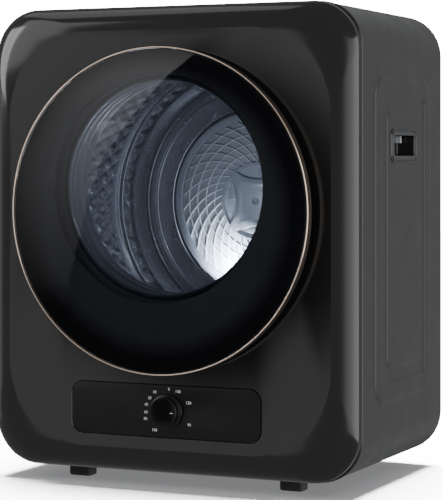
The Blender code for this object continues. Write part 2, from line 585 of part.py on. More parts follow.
def hinge():
    """Vertical pin hinge behind the rim's left edge."""
    reach, eye, bore = 0.0300, 0.0028, 0.0016
    post("hinge_pin", HINGE_X, HINGE_DEPTH, DOOR_Z - reach, DOOR_Z + reach, 0.0013, STEEL, 12)
    leaf = post("hinge_leaf", HINGE_X, HINGE_DEPTH, DOOR_Z - 0.0160, DOOR_Z + 0.0160, eye, ZINC)
    plate = block("leaf_plate", (HINGE_X, -0.0396, DOOR_Z - 0.0158), (-0.1715, -0.0370, DOOR_Z + 0.0158))
    combine(leaf, plate, "UNION")
    combine(leaf, post("leaf_bore", HINGE_X, HINGE_DEPTH, DOOR_Z - 0.05, DOOR_Z + 0.05, bore, None, 12))
    bracket = block("hinge_bracket", (HINGE_X - 0.0005, -0.0292, DOOR_Z - 0.0295),
                    (-0.1780, FACE - GAP, DOOR_Z + 0.0295), ZINC)
    for sign, word in ((1, "upper"), (-1, "lower")):
        low, high = sorted((DOOR_Z + sign * 0.0165, DOOR_Z + sign * 0.0292))
        combine(bracket, block("bracket_arm_" + word, (HINGE_X - 0.0003, HINGE_DEPTH, low + 0.0001),
                               (HINGE_X + 0.0055, -0.0285, high - 0.0001)), "UNION")
        combine(bracket, post("bracket_eye_" + word, HINGE_X, HINGE_DEPTH, low, high, eye), "UNION")
    combine(bracket, post("bracket_bore", HINGE_X, HINGE_DEPTH, DOOR_Z - 0.05, DOOR_Z + 0.05, bore, None, 12))


def latch():
    """Hook on the door, and the catch with its sprung pawl behind the front panel."""
    outline = [(-0.0015, -0.0297), (-0.0015, -0.0080), (0.0015, -0.0080), (0.0030, -0.0095), (0.0030, -0.0105),
               (0.0015, -0.0115), (0.0015, -0.0297)]
    sections = [[Vector((LATCH_X + u, SEAM + v, z)) for u, v in outline] for z in (DOOR_Z - 0.007, DOOR_Z + 0.007)]
    loft("latch_hook", sections, STEEL, smooth=False)
    box = block("latch_housing", (LATCH_X - 0.0070, -0.0242, DOOR_Z - 0.0160),
                (LATCH_X + 0.0230, -0.0010, DOOR_Z + 0.0160), BLACK_PLASTIC)
    combine(box, block("latch_cavity", (LATCH_X - 0.0050, -0.0300, DOOR_Z - 0.0105),
                       (LATCH_X + 0.0185, -0.0045, DOOR_Z + 0.0105)))
    block("latch_pawl", (LATCH_X + 0.0045, -0.0200, DOOR_Z - 0.0060), (LATCH_X + 0.0125, -0.0120, DOOR_Z + 0.0060),
          GREY_PLASTIC)
    block("door_switch", (LATCH_X - 0.005, -0.0242, DOOR_Z + 0.020), (LATCH_X + 0.015, -0.0100, DOOR_Z + 0.032),
          BLACK_PLASTIC)


# ---- controls ---------------------------------------------------------------------------------------
def controls():
    """Dark control plate with one dial, and the timer behind it."""
    outline = rounded(CONTROL_HALF_W, CONTROL_HALF_H, CONTROL_CORNER, 6)
    plate = loft("control_plate", [facing(outline, -0.0260, CONTROL_X, CONTROL_Z),
                                   facing(outline, FACE - 0.0002, CONTROL_X, CONTROL_Z)], BLACK_PLASTIC)
    combine(plate, turned("plate_hole", [(0.0040, -0.05), (0.0040, 0.0)], x=KNOB_X, z=CONTROL_Z, count=20,
                          ring=False))
    dial = [(0.0205, -0.0283), (0.0215, -0.0290), (0.0215, -0.0312), (0.0203, -0.0322), (0.0188, -0.0326),
            (0.0184, -0.0415), (0.0174, -0.0430)]
    turned("timer_knob", dial, BLACK_PLASTIC, x=KNOB_X, z=CONTROL_Z, count=32, ring=False)
    turned("knob_shaft", [(0.0030, -0.0280), (0.0030, 0.0020)], STEEL, x=KNOB_X, z=CONTROL_Z, count=16, ring=False)
    turned("timer_body", [(0.0033, -0.0242), (0.0240, -0.0242), (0.0240, 0.0060), (0.0033, 0.0060)], WHITE_PLASTIC,
           x=KNOB_X, z=CONTROL_Z, count=32)


def main():
    clear_scene()
    front_panel()
    cabinet_shell()
    rear_panel()
    feet()
    side_handles()
    bulkheads()
    collar_and_seal()
    drum()
    drive()
    air_path()
    door()
    controls()


main()
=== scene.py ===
"""Looks of the compact clothes dryer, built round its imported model."""
import json
import math

import bpy
import numpy as np
from mathutils import Matrix, Vector

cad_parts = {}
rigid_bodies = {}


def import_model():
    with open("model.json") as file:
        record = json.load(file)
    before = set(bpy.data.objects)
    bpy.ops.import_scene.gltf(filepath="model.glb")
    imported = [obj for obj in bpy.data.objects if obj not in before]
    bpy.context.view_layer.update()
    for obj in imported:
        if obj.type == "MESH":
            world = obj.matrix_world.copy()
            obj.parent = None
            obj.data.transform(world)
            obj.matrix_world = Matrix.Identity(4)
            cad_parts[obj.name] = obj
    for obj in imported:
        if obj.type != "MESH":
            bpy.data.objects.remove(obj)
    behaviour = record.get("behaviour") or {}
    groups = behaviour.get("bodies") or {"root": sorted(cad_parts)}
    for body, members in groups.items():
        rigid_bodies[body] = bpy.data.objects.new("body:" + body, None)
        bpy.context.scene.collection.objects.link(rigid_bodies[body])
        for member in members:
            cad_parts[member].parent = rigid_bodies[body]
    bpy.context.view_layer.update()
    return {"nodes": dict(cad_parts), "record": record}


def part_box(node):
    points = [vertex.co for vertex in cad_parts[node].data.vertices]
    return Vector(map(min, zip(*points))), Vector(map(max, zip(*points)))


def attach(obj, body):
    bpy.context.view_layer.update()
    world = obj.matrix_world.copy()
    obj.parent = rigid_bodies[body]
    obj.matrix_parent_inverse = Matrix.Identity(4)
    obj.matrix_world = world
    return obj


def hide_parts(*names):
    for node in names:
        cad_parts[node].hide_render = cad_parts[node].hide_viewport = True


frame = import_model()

TAU = math.tau

# ---- places read from the frame, metres ------------------------------------------------------------
panel_low, panel_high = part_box("front_panel")
shell_low, shell_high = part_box("cabinet_shell")
ring_low, ring_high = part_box("door_ring")
collar_low, collar_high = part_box("door_collar")
drum_low, drum_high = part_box("drum_shell")
plate_low, plate_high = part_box("control_plate")
knob_low, knob_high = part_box("timer_knob")
grip_low, grip_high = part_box("side_handle_right")

SEAM = panel_high.y                    # where the front moulding meets the shell; depths count back from it
MID = (panel_low.z + panel_high.z) / 2
HALF_W = (panel_high.x - panel_low.x) / 2
HALF_H = (panel_high.z - panel_low.z) / 2
FACE = panel_low.y - SEAM
DOOR_Z = (ring_low.z + ring_high.z) / 2
RING_R = (ring_high.x - ring_low.x) / 2
RIM = ring_low.y - SEAM
WINDOW_Z = (collar_low.z + collar_high.z) / 2
DRUM_Z = (drum_low.z + drum_high.z) / 2
PLATE_HALF_W, PLATE_HALF_H = (plate_high.x - plate_low.x) / 2, (plate_high.z - plate_low.z) / 2
CONTROL = Vector(((plate_low.x + plate_high.x) / 2, plate_low.y, (plate_low.z + plate_high.z) / 2))
KNOB = Vector(((knob_low.x + knob_high.x) / 2, knob_low.y, (knob_low.z + knob_high.z) / 2))
GRIP = Vector((grip_high.x, (grip_low.y + grip_high.y) / 2, (grip_low.z + grip_high.z) / 2))


# ---- materials ---------------------------------------------------------------
def blank(name):
    """A new material, its node tree and its shader."""
    made = bpy.data.materials.new(name)
    made.use_nodes = True
    return made, made.node_tree, made.node_tree.nodes["Principled BSDF"]


def fill(tree, node, values):
    """Give a node's inputs their values, or links where the values are other nodes' outputs."""
    for name, value in values.items():
        if isinstance(value, bpy.types.NodeSocket):
            tree.links.new(value, node.inputs[name])
        else:
            node.inputs[name].default_value = value


def add(tree, kind, values):
    """A new node with its inputs filled."""
    node = tree.nodes.new("ShaderNode" + kind)
    fill(tree, node, values)
    return node


def place_of(tree):
    """The shaded point in the object's own coordinates."""
    return add(tree, "TexCoord", {}).outputs["Object"]


def noise(tree, scale, detail=3.0, rough=0.55, stretch=(1, 1, 1)):
    """Noise over the object's own coordinates."""
    mapping = add(tree, "Mapping", {"Vector": place_of(tree), "Scale": stretch})
    texture = add(tree, "TexNoise", {"Vector": mapping.outputs["Vector"], "Scale": scale, "Detail": detail,
                                     "Roughness": rough})
    return texture.outputs["Fac"]


def spread(tree, source, low, high, start=0.3, end=0.7):
    """Map a noise onto a range of values."""
    node = add(tree, "MapRange", {"Value": source, "From Min": start, "From Max": end, "To Min": low,
                                  "To Max": high})
    return node.outputs["Result"]


def tint(tree, source, first, second, start=0.3, end=0.7):
    """Map a noise onto a blend of two colours."""
    ramp = add(tree, "ValToRGB", {"Fac": source})
    ends = ramp.color_ramp.elements
    ends[0].position, ends[1].position = start, end
    ends[0].color, ends[1].color = (*first, 1), (*second, 1)
    return ramp.outputs["Color"]


def combine(tree, operation, first, second):
    """Math node over two values or links."""
    node = tree.nodes.new("ShaderNodeMath")
    node.operation = operation
    fill(tree, node, {0: first, 1: second})
    return node.outputs["Value"]


def distance_from(tree, source, place):
    """How far a position is from a fixed place."""
    away = tree.nodes.new("ShaderNodeVectorMath")
    away.operation = "DISTANCE"
    fill(tree, away, {0: source, 1: place})
    return away.outputs["Value"]


def relief(tree, shader, source, strength, distance):
    """Fine bumps on a shader, from a noise."""
    bump = add(tree, "Bump", {"Height": source, "Strength": strength, "Distance": distance})
    fill(tree, shader, {"Normal": bump.outputs["Normal"]})


def moulded(name, colour, roughness, grain=900, depth=0.00003, vary=0.12, sheen=0.5):
    """Plastic or paint: slight colour mottling, uneven gloss and a fine grain."""
    made, tree, shader = blank(name)
    dark = tuple(c * (1 - vary) for c in colour)
    light = tuple(min(1, c * (1 + vary)) for c in colour)
    fill(tree, shader, {"Base Color": tint(tree, noise(tree, 7, 4), dark, light),
                        "Roughness": spread(tree, noise(tree, 24, 5), roughness * 0.88, roughness * 1.12),
                        "Specular IOR Level": sheen})
    relief(tree, shader, noise(tree, grain, 2), 0.35, depth)
    return made


def brushed(name, colour, roughness, stretch, depth=0.00002, vary=0.15, metal=1.0):
    """Metal with fine drawn lines along one axis."""
    made, tree, shader = blank(name)
    lines = noise(tree, 60, 3, 0.6, stretch)
    dark = tuple(c * (1 - vary) for c in colour)
    fill(tree, shader, {"Base Color": tint(tree, lines, dark, colour),
                        "Roughness": spread(tree, lines, roughness * 0.8, roughness * 1.25),
                        "Metallic": metal})
    relief(tree, shader, lines, 0.3, depth)
    return made


def cloth(name, colour):
    """Pressed fibre."""
    made, tree, shader = blank(name)
    fibre = noise(tree, 1400, 4, 0.7)
    dark = tuple(c * 0.7 for c in colour)
    fill(tree, shader, {"Base Color": tint(tree, fibre, dark, colour), "Roughness": 0.9,
                        "Sheen Weight": 0.3})
    relief(tree, shader, fibre, 0.6, 0.0002)
    return made


def filter_cloth(name):
    """Fine woven mesh: two crossing sets of threads."""
    made, tree, shader = blank(name)
    waves = []
    for axis in ("X", "Z"):
        wave = add(tree, "TexWave", {"Vector": place_of(tree), "Scale": 170})
        wave.bands_direction = axis
        waves.append(wave.outputs["Fac"])
    threads = combine(tree, "MAXIMUM", *waves)
    colour = tint(tree, threads, (0.13, 0.14, 0.155), (0.24, 0.255, 0.275), 0.35, 0.8)
    fill(tree, shader, {"Base Color": colour, "Roughness": 0.8})
    relief(tree, shader, threads, 0.5, 0.0002)
    return made


def pane(name, through, gloss, index):
    """Thin flat glass: what is behind shows through, with a mirror-like sheen on top."""
    made, tree, shader = blank(name)
    tree.nodes.remove(shader)
    clear = add(tree, "BsdfTransparent", {"Color": (*through, 1)})
    shine = add(tree, "BsdfGlossy", {"Color": (1, 1, 1, 1), "Roughness": gloss})
    fresnel = add(tree, "Fresnel", {"IOR": index})
    mix = add(tree, "MixShader", {"Fac": fresnel.outputs["Fac"], 1: clear.outputs["BSDF"],
                                  2: shine.outputs["BSDF"]})
    fill(tree, tree.nodes["Material Output"], {"Surface": mix.outputs["Shader"]})
    return made


def printed_border(name, centre, start, end):
    """Ceramic print behind the glass: charcoal round the window, black beyond a distance from a centre."""
    made, tree, shader = blank(name)
    flat = tree.nodes.new("ShaderNodeVectorMath")
    flat.operation = "MULTIPLY"
    fill(tree, flat, {0: place_of(tree), 1: (1, 0, 1)})
    away = distance_from(tree, flat.outputs["Vector"], centre)
    charcoal = tint(tree, noise(tree, 40), (0.180, 0.168, 0.160), (0.200, 0.187, 0.178))
    black = tint(tree, noise(tree, 40), (0.044, 0.041, 0.039), (0.054, 0.050, 0.048))
    mix = tree.nodes.new("ShaderNodeMix")
    mix.data_type = "RGBA"
    fill(tree, mix, {"Factor": spread(tree, away, 0.0, 1.0, start, end), "A": charcoal, "B": black})
    fill(tree, shader, {"Base Color": mix.outputs["Result"], "Specular IOR Level": 0.1,
                        "Roughness": spread(tree, noise(tree, 90), 0.48, 0.56)})
    return made


def glowing(name, colour, strength):
    """A lit lens."""
    made, tree, shader = blank(name)
    fill(tree, shader, {"Base Color": (*colour, 1), "Emission Color": (*colour, 1),
                        "Emission Strength": strength,
                        "Roughness": spread(tree, noise(tree, 300), 0.25, 0.4)})
    return made


# slot materials under their slots' names, then looks of single pieces
LOOK = {
    "front_moulding": moulded("front moulding", (0.0065, 0.0065, 0.0067), 0.11, 1300, 0.000003, 0.06),
    "cabinet_paint": moulded("cabinet paint", (0.0104, 0.0103, 0.0106), 0.34, 700, 0.00001, 0.05, 0.43),
    "black_plastic": moulded("black plastic", (0.010, 0.010, 0.011), 0.42, 1500, 0.00004),
    "control_plastic": moulded("control plastic", (0.0065, 0.0065, 0.0068), 0.30, 2200, 0.00001, 0.05, 0.24),
    "light_grey_plastic": moulded("light grey plastic", (0.20, 0.215, 0.24), 0.36, 1100, 0.00003, 0.06),
    "white_plastic": moulded("white plastic", (0.72, 0.72, 0.70), 0.45),
    "rose_metal": brushed("rose metal", (0.95, 0.75, 0.61), 0.18, (1, 12, 1), 0.000004, 0.06),
    "drum_steel": brushed("drum steel", (0.34, 0.35, 0.375), 0.22, (5, 1, 5), 0.000001, 0.05, 0.8),
    "zinc_steel": brushed("zinc steel", (0.50, 0.52, 0.55), 0.42, (2, 2, 2)),
    "tinted_glass": pane("tinted glass", (0.74, 0.76, 0.80), 0.0, 1.45),
    "lamp_glass": glowing("lamp glass", (0.85, 0.93, 1.0), 2.0),
    "black_rubber": moulded("black rubber", (0.012, 0.012, 0.012), 0.75, 600, 0.0001),
    "felt": cloth("felt", (0.45, 0.42, 0.36)),
    "filter_fabric": filter_cloth("filter cloth"),
    "circuit_board": moulded("circuit board", (0.03, 0.13, 0.06), 0.5, 300, 0.0002, 0.4),
    "heater": brushed("heater fins", (0.55, 0.50, 0.45), 0.5, (200, 1, 1), 0.0005),
    "ink": moulded("white print", (0.85, 0.85, 0.86), 0.5, 2000, 0.00001, 0.05),
    # paler copy of the light grey plastic, for the grille's ribs and hoops and the grip's pocket plate: a
    # painted highlight standing in for the light they catch
    "rib": moulded("pale rib plastic, painted highlight", (0.46, 0.48, 0.51), 0.32, 1100, 0.00001, 0.05),
    "grip": moulded("grip plastic", (0.013, 0.013, 0.014), 0.24, 1500, 0.00001, 0.06),
    "print": printed_border("door print", (0.0, 0.0, DOOR_Z), 0.155, 0.180),
    "dial": moulded("dial gloss", (0.006, 0.006, 0.0065), 0.17, 1500, 0.000004, 0.05, 0.30),
    "trim": moulded("trim plastic", (0.190, 0.180, 0.174), 0.45, 1200, 0.00001, 0.05, 0.2),
    "collar": moulded("collar plastic", (0.085, 0.092, 0.105), 0.22, 1200, 0.00001, 0.05),
}


# ---- mesh tools --------------------------------------------------------------
def placed(name, data):
    """New object in the scene for a mesh, a curve, a light or a camera."""
    obj = bpy.data.objects.new(name, data)
    bpy.context.scene.collection.objects.link(obj)
    return obj


def raw(name, points, faces):
    """A bare object in the scene, its faces turned to look outwards."""
    mesh = bpy.data.meshes.new(name)
    mesh.from_pydata([tuple(p) for p in points], [], faces)
    mesh.validate()
    volume = 0.0
    for face in mesh.polygons:
        corner = [mesh.vertices[i].co for i in face.vertices]
        volume += sum(corner[0].dot(corner[k].cross(corner[k + 1])) for k in range(1, len(corner) - 1))
    if volume < 0:
        mesh.flip_normals()
    return placed(name, mesh)


def settle(obj, look, body, replaces=(), sharp=35, smooth=True):
    """Finish a mesh: its shading, its material, the body it rides on and the CAD nodes it stands for."""
    if smooth:
        obj.data.shade_smooth()
        obj.data.set_sharp_from_angle(angle=math.radians(sharp))
    obj.data.materials.clear()
    obj.data.materials.append(LOOK[look])
    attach(obj, body)
    if replaces:
        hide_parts(*replaces)


def piece(name, points, faces, look, body="root", replaces=(), slot=None, sharp=35):
    settle(raw(name, points, faces), look, body, replaces, sharp)


def skin(sections, ring=False):
    """Points and faces of a skin over equal-length closed outlines."""
    count = len(sections[0])
    points = [p for section in sections for p in section]
    faces = []
    for i in range(len(sections) if ring else len(sections) - 1):
        a, b = i * count, (i + 1) % len(sections) * count
        faces += [(a + k, a + (k + 1) % count, b + (k + 1) % count, b + k) for k in range(count)]
    if not ring:
        last = (len(sections) - 1) * count
        faces.append(tuple(range(count))[::-1])
        faces.append(tuple(range(last, last + count)))
    return points, faces


def rounded(half_u, half_v, radius, steps):
    """Outline of a rounded rectangle, with this many steps in each corner."""
    outline = []
    for quarter, (su, sv) in enumerate(((1, 1), (-1, 1), (-1, -1), (1, -1))):
        for k in range(steps + 1):
            angle = math.pi / 2 * (quarter + k / steps)
            outline.append((su * (half_u - radius) + radius * math.cos(angle),
                            sv * (half_v - radius) + radius * math.sin(angle)))
    return outline


def facing(outline, depth, x=0.0, z=0.0):
    """Outline in a plane parallel to the front."""
    return [(x + u, SEAM + depth, z + v) for u, v in outline]


def sideways(outline, x, y, z):
    """Outline in a plane parallel to the flanks."""
    return [(x, y + u, z + v) for u, v in outline]


def circle(radius, count):
    return [(radius * math.cos(TAU * k / count), radius * math.sin(TAU * k / count)) for k in range(count)]


def turned(profile, x, z, count, ring=True):
    """Skin over a (radius, depth) profile turned about a front-to-back line."""
    return skin([facing(circle(r, count), d, x, z) for r, d in profile], ring)


def arc(centre, radius, start, end, steps):
    """Points on an arc, with angles in degrees."""
    found = []
    for k in range(steps + 1):
        angle = math.radians(start + (end - start) * k / steps)
        found.append((centre[0] + radius * math.cos(angle), centre[1] + radius * math.sin(angle)))
    return found


def carve(obj, tools):
    """Cut the tools out straight away and drop them."""
    for points, faces in tools:
        tool = raw("tool", points, faces)
        modifier = obj.modifiers.new("cut", "BOOLEAN")
        modifier.operation = "DIFFERENCE"
        modifier.solver = "EXACT"
        modifier.object = tool
        graph = bpy.context.evaluated_depsgraph_get()
        result = bpy.data.meshes.new_from_object(obj.evaluated_get(graph))
        obj.modifiers.clear()
        used = [obj.data, tool.data]
        obj.data = result
        bpy.data.objects.remove(tool)
        for mesh in used:
            bpy.data.meshes.remove(mesh)


def box_tool(low, high):
    (x0, d0, z0), (x1, d1, z1) = low, high
    outline = [(x1, z1), (x0, z1), (x0, z0), (x1, z0)]
    return skin([facing(outline, d0), facing(outline, d1)])


# ---- cabinet -----------------------------------------------------------------
OUTER_CORNER, RIDGE_CORNER = 0.0615, 0.107
RIDGE_HALF_W, RIDGE_HALF_H = 0.2195, 0.259
BEVEL_IN, BEVEL_FORWARD = 0.20, 0.80   # middle point of the bevel's curve, as shares of its whole way
CORNER_STEPS, RISE_STEPS = 26, 22
WALL = 0.003
LIP, LIP_TAPER = -0.0100, 0.0008   # depth of the straight band behind the bevel, and how far it draws in
EASED_LIP = ((0.0022, 0.0), (0.0022, -0.0009), (0.0006, -0.0012), (0.0, -0.0018), (0.0, -0.0024),
             (0.0007, LIP + 0.0006))   # how far in, and depth, from the seam forwards
FLAT_SHARP = 5.2                   # degrees; a small angle, so that the flat front is shaded flat
BEFORE, BEHIND = -0.05, 0.01       # depths well in front of the face and just behind the seam, for cutting


def bevel(rise, wall=0.0):
    """Outline of the front moulding; rise goes from 0 at the straight lip to 1 at the ridge."""
    inset = 2 * rise * (1 - rise) * BEVEL_IN + rise * rise
    forward = 2 * rise * (1 - rise) * BEVEL_FORWARD + rise * rise
    half_w = HALF_W - LIP_TAPER + (RIDGE_HALF_W - HALF_W + LIP_TAPER) * inset - wall
    half_h = HALF_H - LIP_TAPER + (RIDGE_HALF_H - HALF_H + LIP_TAPER) * inset - wall
    radius = OUTER_CORNER + (RIDGE_CORNER - OUTER_CORNER) * inset - wall
    depth = LIP + (FACE - LIP) * forward + wall * forward
    return facing(rounded(half_w, half_h, radius, CORNER_STEPS), depth, 0, MID)


def drawn_in(inset, depth):
    """Outline of the moulding's straight band, drawn in by an inset."""
    return facing(rounded(HALF_W - inset, HALF_H - inset, OUTER_CORNER - inset, CORNER_STEPS), depth, 0, MID)


def tray_cut():
    """Recess of the control plate, with a chamfered edge."""
    gap, chamfer, corner = 0.0005, 0.0040, 0.0155
    half_w, half_h = PLATE_HALF_W + gap, PLATE_HALF_H + gap
    levels = ((chamfer, 0.0190, -0.003), (0.0, corner, 0.0010), (0.0, corner, 0.0018))
    return skin([facing(rounded(half_w + out, half_h + out, radius, 10), FACE + depth, CONTROL.x, CONTROL.z)
                 for out, radius, depth in levels])


def front_panel():
    """Deep-bevelled moulding with an eased lip at the seam and chamfered openings."""
    rises = [i / RISE_STEPS for i in range(RISE_STEPS + 1)]
    outer = [drawn_in(inset, depth) for inset, depth in EASED_LIP] + [bevel(r) for r in rises]
    obj = raw("front_moulding_shell", *skin(outer))
    hollow = skin([drawn_in(WALL, 0.004)] + [bevel(r, WALL) for r in rises[::2]])
    mouth_r, mouth_edge_r = 0.1345, 0.1362
    mouth = turned([(mouth_edge_r, -0.045), (mouth_edge_r, FACE - 0.0004), (mouth_r, FACE + 0.0012),
                    (mouth_r, BEHIND)], 0, WINDOW_Z, 160, ring=False)
    shaft_r = 0.0045
    shaft = turned([(shaft_r, BEFORE), (shaft_r, BEHIND)], KNOB.x, KNOB.z, 24, ring=False)
    hook_low, hook_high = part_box("latch_hook")
    slot_x, slot_half_h = (hook_low.x + hook_high.x) / 2, 0.010
    slot = box_tool((slot_x - 0.0060, BEFORE, DOOR_Z - slot_half_h),
                    (slot_x + 0.0070, 0.0, DOOR_Z + slot_half_h))
    carve(obj, [hollow, mouth, tray_cut(), shaft, slot])
    settle(obj, "front_moulding", "root", ["front_panel"], sharp=FLAT_SHARP)


PRESS_DEPTH, PRESS_HEIGHT = 0.1498, 0.0015   # depth of the pressing's middle, and how far it stands out
PRESS_SLOPE = 0.0054                         # width of its sloped edges
# half width, half height and corner of the pressing, of the groove in it and of its middle
PRESS_BAND, PRESS_GROOVE = (0.1058, 0.2008, 0.028), (0.0820, 0.1770, 0.011)
PRESS_FIELD = (0.0640, 0.1600, 0.012)
SHELL_HALF_W, SHELL_CORNER, SHEET = 0.2482, 0.055, 0.001
HEM = ((0.0009, 0.0004), (0.0016, 0.0007), (0.0023, 0.0008), (0.0030, 0.0007), (0.0037, 0.0004),
       (0.0042, 0.0))                        # rolled bead near the front edge: distance from it, bulge


def rounded_distance(u, v, half_u, half_v, radius):
    """Signed distance from a rounded rectangle's outline, negative inside."""
    qu, qv = np.abs(u) - (half_u - radius), np.abs(v) - (half_v - radius)
    outside = np.sqrt(np.maximum(qu, 0) ** 2 + np.maximum(qv, 0) ** 2)
    return outside + np.minimum(np.maximum(qu, qv), 0) - radius


def ease(t):
    """Smooth step from 0 to 1."""
    t = np.clip(t, 0, 1)
    return t * t * (3 - 2 * t)


def pressed_height(u, v):
    """Height of the flank's pressing above the sheet: a raised band round a raised middle."""
    outer = ease((0.0006 - rounded_distance(u, v, *PRESS_BAND)) / PRESS_SLOPE)
    groove = ease((0.0014 - rounded_distance(u, v, *PRESS_GROOVE)) / PRESS_SLOPE)
    field = ease((0.0006 - rounded_distance(u, v, *PRESS_FIELD)) / PRESS_SLOPE)
    return PRESS_HEIGHT * (outer - groove + field)


def stations(low, high, fine_from, fine_to):
    """Grid lines that are close together only between two distances from the middle."""
    coarse, fine = 0.006, 0.0013
    places = [low]
    while places[-1] < high:
        at = abs(places[-1])
        places.append(places[-1] + (fine if fine_from < at < fine_to else coarse))
    return places[:-1] + [high]


def cabinet_shell():
    """Wrapped sheet with rolled ends and pressed flanks, in one closed skin."""
    half_h = (shell_high.z - shell_low.z) / 2
    middle = (shell_high.z + shell_low.z) / 2
    front, back = shell_low.y - SEAM, shell_high.y - SEAM
    centre = PRESS_DEPTH
    upper = [(math.cos(math.pi / 2 * k / 20), math.sin(math.pi / 2 * k / 20)) for k in range(1, 21)]
    lower = [(s, -c) for c, s in [(1.0, 0.0)] + upper[:-1]]
    flank = stations(-(half_h - SHELL_CORNER), half_h - SHELL_CORNER, 0.142, 0.204)
    depths = [centre + u for u in stations(front - centre + 0.0012, back - centre - 0.0012, 0.045, 0.109)]

    def around_at(depth, inset):
        half_w, radius = SHELL_HALF_W - inset, SHELL_CORNER - inset
        rise = pressed_height(np.full(len(flank), depth - centre), np.array(flank)) if inset <= 0.0002 else 0
        side = [(half_w + h, v) for h, v in zip(np.zeros(len(flank)) + rise, flank)]
        right = [(half_w - radius + radius * c, SHELL_CORNER - half_h + radius * s) for c, s in lower]
        right += side + [(half_w - radius + radius * c, half_h - SHELL_CORNER + radius * s) for c, s in upper]
        left = [(-x, -z) for x, z in right]
        return [(x, SEAM + depth, middle + z) for x, z in right + left]

    sections = [around_at(front + d, inset) for d, inset in ((0.0, 0.0007), (0.0004, 0.0))]
    sections += [around_at(front + d, -bulge) for d, bulge in HEM]
    sections += [around_at(depth, 0.0) for depth in depths if depth > front + 0.0050]
    sections += [around_at(back - d, inset) for d, inset in ((0.0007, 0.0), (0.0002, 0.0003), (0.0, 0.0007))]
    sections += [around_at(depth, SHEET) for depth in (back, front)]
    obj = raw("cabinet_wrap", *skin(sections, ring=True))
    hole, hole_from, hole_to = rounded(0.0440, 0.0180, 0.004, 4), 0.235, 0.262
    carve(obj, [skin([sideways(hole, side * x, GRIP.y, GRIP.z) for x in (hole_from, hole_to)])
                for side in (1, -1)])
    settle(obj, "cabinet_paint", "root", ["cabinet_shell"], sharp=30)


def feet():
    """Rubber feet with eased edges, each in its CAD foot's box."""
    for side in ("left", "right"):
        for where in ("front", "rear"):
            name = "foot_" + where + "_" + side
            low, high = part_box(name)
            x, y, top = (low.x + high.x) / 2, (low.y + high.y) / 2, high.z
            half_x, half_y = (high.x - low.x) / 2, (high.y - low.y) / 2
            eased = ((0.0022, 0.0), (0.0010, 0.0005), (0.0003, 0.0015), (0.0, 0.003), (0.0, top - 0.001),
                     (0.0006, top))
            sections = [[(x + u, y + v, z)
                         for u, v in rounded(half_x - inset, half_y - inset, 0.0045 - inset / 2, 6)]
                        for inset, z in eased]
            piece("rubber_" + name, *skin(sections), "black_rubber", replaces=[name])


# half width, half height, corner and height above the pressing, from the pocket's floor to the back
GRIP_SECTIONS = (
    (0.0370, 0.0126, 0.0040, -0.0220), (0.0376, 0.0130, 0.0040, -0.0212), (0.0378, 0.0130, 0.0040, -0.0030),
    (0.0378, 0.0124, 0.0040, 0.0004), (0.0384, 0.0129, 0.0045, 0.0014), (0.0394, 0.0138, 0.0060, 0.0018),
    (0.0436, 0.0178, 0.0095, 0.0018), (0.0444, 0.0186, 0.0105, 0.0009), (0.0452, 0.0194, 0.0110, 0.0009),
    (0.0460, 0.0201, 0.0115, 0.0018), (0.0474, 0.0213, 0.0125, 0.0015), (0.0485, 0.0222, 0.0130, 0.0003),
    (0.0422, 0.0162, 0.0040, 0.0003), (0.0422, 0.0162, 0.0040, -0.0236), (0.0416, 0.0156, 0.0040, -0.0240))
# pale plate in the grip's pocket: its light colour is a painted reflection on the pocket's wall
GRIP_GLINT_PLATE = rounded(0.0022, 0.0046, 0.0008, 3)
GRIP_GLINT_Y, GRIP_GLINT_Z = 0.0300, 0.0080


def side_grips():
    """Recessed grip: double bezel and sloped mouth, with a pale plate in the pocket whose light colour is a
    painted reflection.
    """
    face = SHELL_HALF_W + PRESS_HEIGHT
    for side, word in ((1, "right"), (-1, "left")):
        sections = [sideways(rounded(half_u, half_v, corner, 5), side * (face + out), GRIP.y, GRIP.z)
                    for half_u, half_v, corner, out in GRIP_SECTIONS]
        piece("grip_" + word, *skin(sections), "grip", replaces=["side_handle_" + word], slot="black_plastic",
              sharp=30)
        # pale plate whose colour paints the bright reflection in the pocket
        rib = [sideways(GRIP_GLINT_PLATE, side * (face + out), GRIP.y + GRIP_GLINT_Y, GRIP.z + GRIP_GLINT_Z)
               for out in (-0.0215, -0.0140)]
        piece("grip_rib_" + word, *skin(rib), "rib", slot="light_grey_plastic", sharp=30)


# ---- door --------------------------------------------------------------------
RIM_BACK, GLASS_FRONT = -0.0408, -0.0528          # depths
PRINT_FRONT, PRINT_BACK = -0.04915, -0.04905
PRINT_HOLE = 0.1410                               # radius of the clear window in the print
CARRIER_R, CARRIER_FRONT, CARRIER_BACK = 0.1905, -0.0486, -0.0300
SEAL_R, SEAL_HALF, SEAL_FRONT = 0.1735, 0.0035, -0.0297


